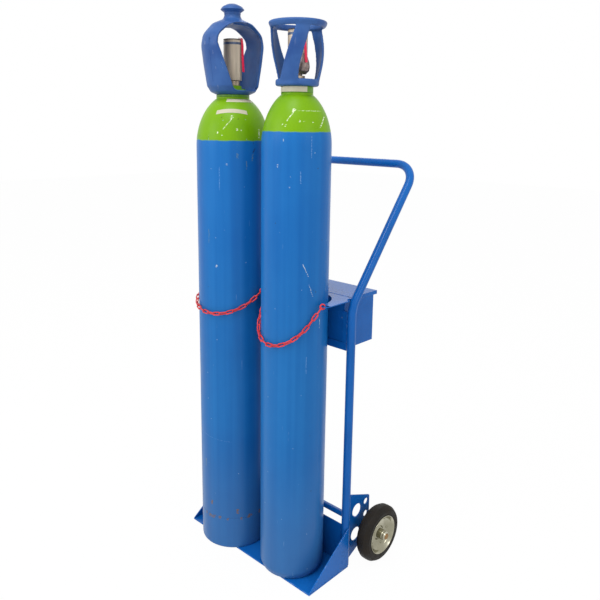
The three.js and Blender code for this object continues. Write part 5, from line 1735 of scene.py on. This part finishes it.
def link_shape(tree, given):
    double_wire = times(tree, given["Wire radius"], 2.0)
    length = compute(tree, "SUBTRACT", given["Link length"], double_wire)
    width = compute(tree, "SUBTRACT", given["Link width"], double_wire)
    loop = result_of(
        tree, "GeometryNodeCurvePrimitiveQuadrilateral", mode="RECTANGLE", Width=length, Height=width,
    )
    ends = result_of(
        tree, "GeometryNodeFilletCurve", mode="POLY", Curve=loop, Count=LINK_CORNER_STEPS,
        Radius=times(tree, width, LINK_CORNER_SHARE),
    )
    wire = result_of(
        tree, "GeometryNodeCurvePrimitiveCircle", mode="RADIUS", Resolution=LINK_SIDES,
        Radius=given["Wire radius"],
    )
    return result_of(tree, "GeometryNodeCurveToMesh", Curve=ends, Profile_Curve=wire)


def link_turn(tree, given):
    """A link lies along the route, faces away from the bottle and leans to one side, then to the other."""
    ahead = result_of(tree, "GeometryNodeInputTangent")
    here = result_of(tree, "GeometryNodeInputPosition")
    outward = vector_math(tree, "SUBTRACT", here, given["Bottle axis"])
    level = vector_math(tree, "MULTIPLY", outward, (1, 1, 0))
    align = "FunctionNodeAlignRotationToVector"
    lie = result_of(tree, align, axis="X", Vector=ahead)
    lean = result_of(tree, align, axis="Z", pivot_axis="X", Rotation=lie, Vector=level)
    odd = compute(tree, "MODULO", result_of(tree, "GeometryNodeInputIndex"), 2.0)
    roll = times(tree, compute(tree, "SUBTRACT", odd, 0.5), math.pi / 2)
    angles = result_of(tree, "ShaderNodeCombineXYZ", X=roll)
    rolled = result_of(tree, "FunctionNodeEulerToRotation", Euler=angles)
    turn_by = {"rotation_space": "LOCAL", "Rotation": lean, "Rotate By": rolled}
    return result_of(tree, "FunctionNodeRotateRotation", **turn_by)


def chain_tree():
    tree, given = new_tree("Chain links", {
        "Links": "Int", "Link length": "Float", "Link width": "Float", "Wire radius": "Float",
        "Bottle axis": "Vector",
    })
    resample = {"mode": "COUNT", "Curve": given["Geometry"], "Count": given["Links"]}
    steps = result_of(tree, "GeometryNodeResampleCurve", **resample)
    link = link_shape(tree, given)
    return finish_tree(tree, given, Points=steps, Instance=link, Rotation=link_turn(tree, given))


CHAIN_TREE = chain_tree()
print("tree:", CHAIN_TREE.name)

# %% Grow the chains
LINK_LENGTH = 0.028
LINK_WIDTH = 0.0132
LINK_WIRE = 0.0021
LINK_PITCH = 0.0214
END_RING_SEGMENTS = 32
FIRST_LINK = END_RING_RADIUS + LINK_LENGTH / 2 - 3 * LINK_WIRE


def end_ring(centre, ahead):
    """A ring of wire round a route's end, turned about the level line across the route."""
    across = ahead.cross(UP).normalized()
    over = across.cross(ahead)
    turn = Matrix((ahead, over, across)).transposed().to_4x4()
    wire = circle((END_RING_RADIUS / MM, 0), LINK_WIRE / MM, LINK_SIDES)
    return lathe(wire, centre, END_RING_SEGMENTS, turn)


for side, *hang in CHAINS:
    route = chain_route(side, *hang)
    inner_route, inner_length = trimmed(route, FIRST_LINK)
    links = 1 + round(inner_length / LINK_PITCH)
    values = {
        "Links": links, "Link length": LINK_LENGTH, "Link width": LINK_WIDTH, "Wire radius": LINK_WIRE,
        "Bottle axis": (*AXES[side], 0.0), "Material": CHAIN_COATING,
    }
    chain = grow(path_curve([inner_route]), CHAIN_TREE, values)
    add_piece(chain, f"chain_links_{side}", CHAIN_COATING, "frame", f"chain_{side}")
    ends = ((route[0], route[1] - route[0]), (route[-1], route[-1] - route[-2]))
    for number, (centre, run) in enumerate(ends, start=1):
        ring = end_ring(centre, run.normalized())
        add_piece(ring, f"chain_end_{side}_{number}", CHAIN_COATING, "frame")
    print("chain", side, "links:", links, "length:", round(inner_length, 3))
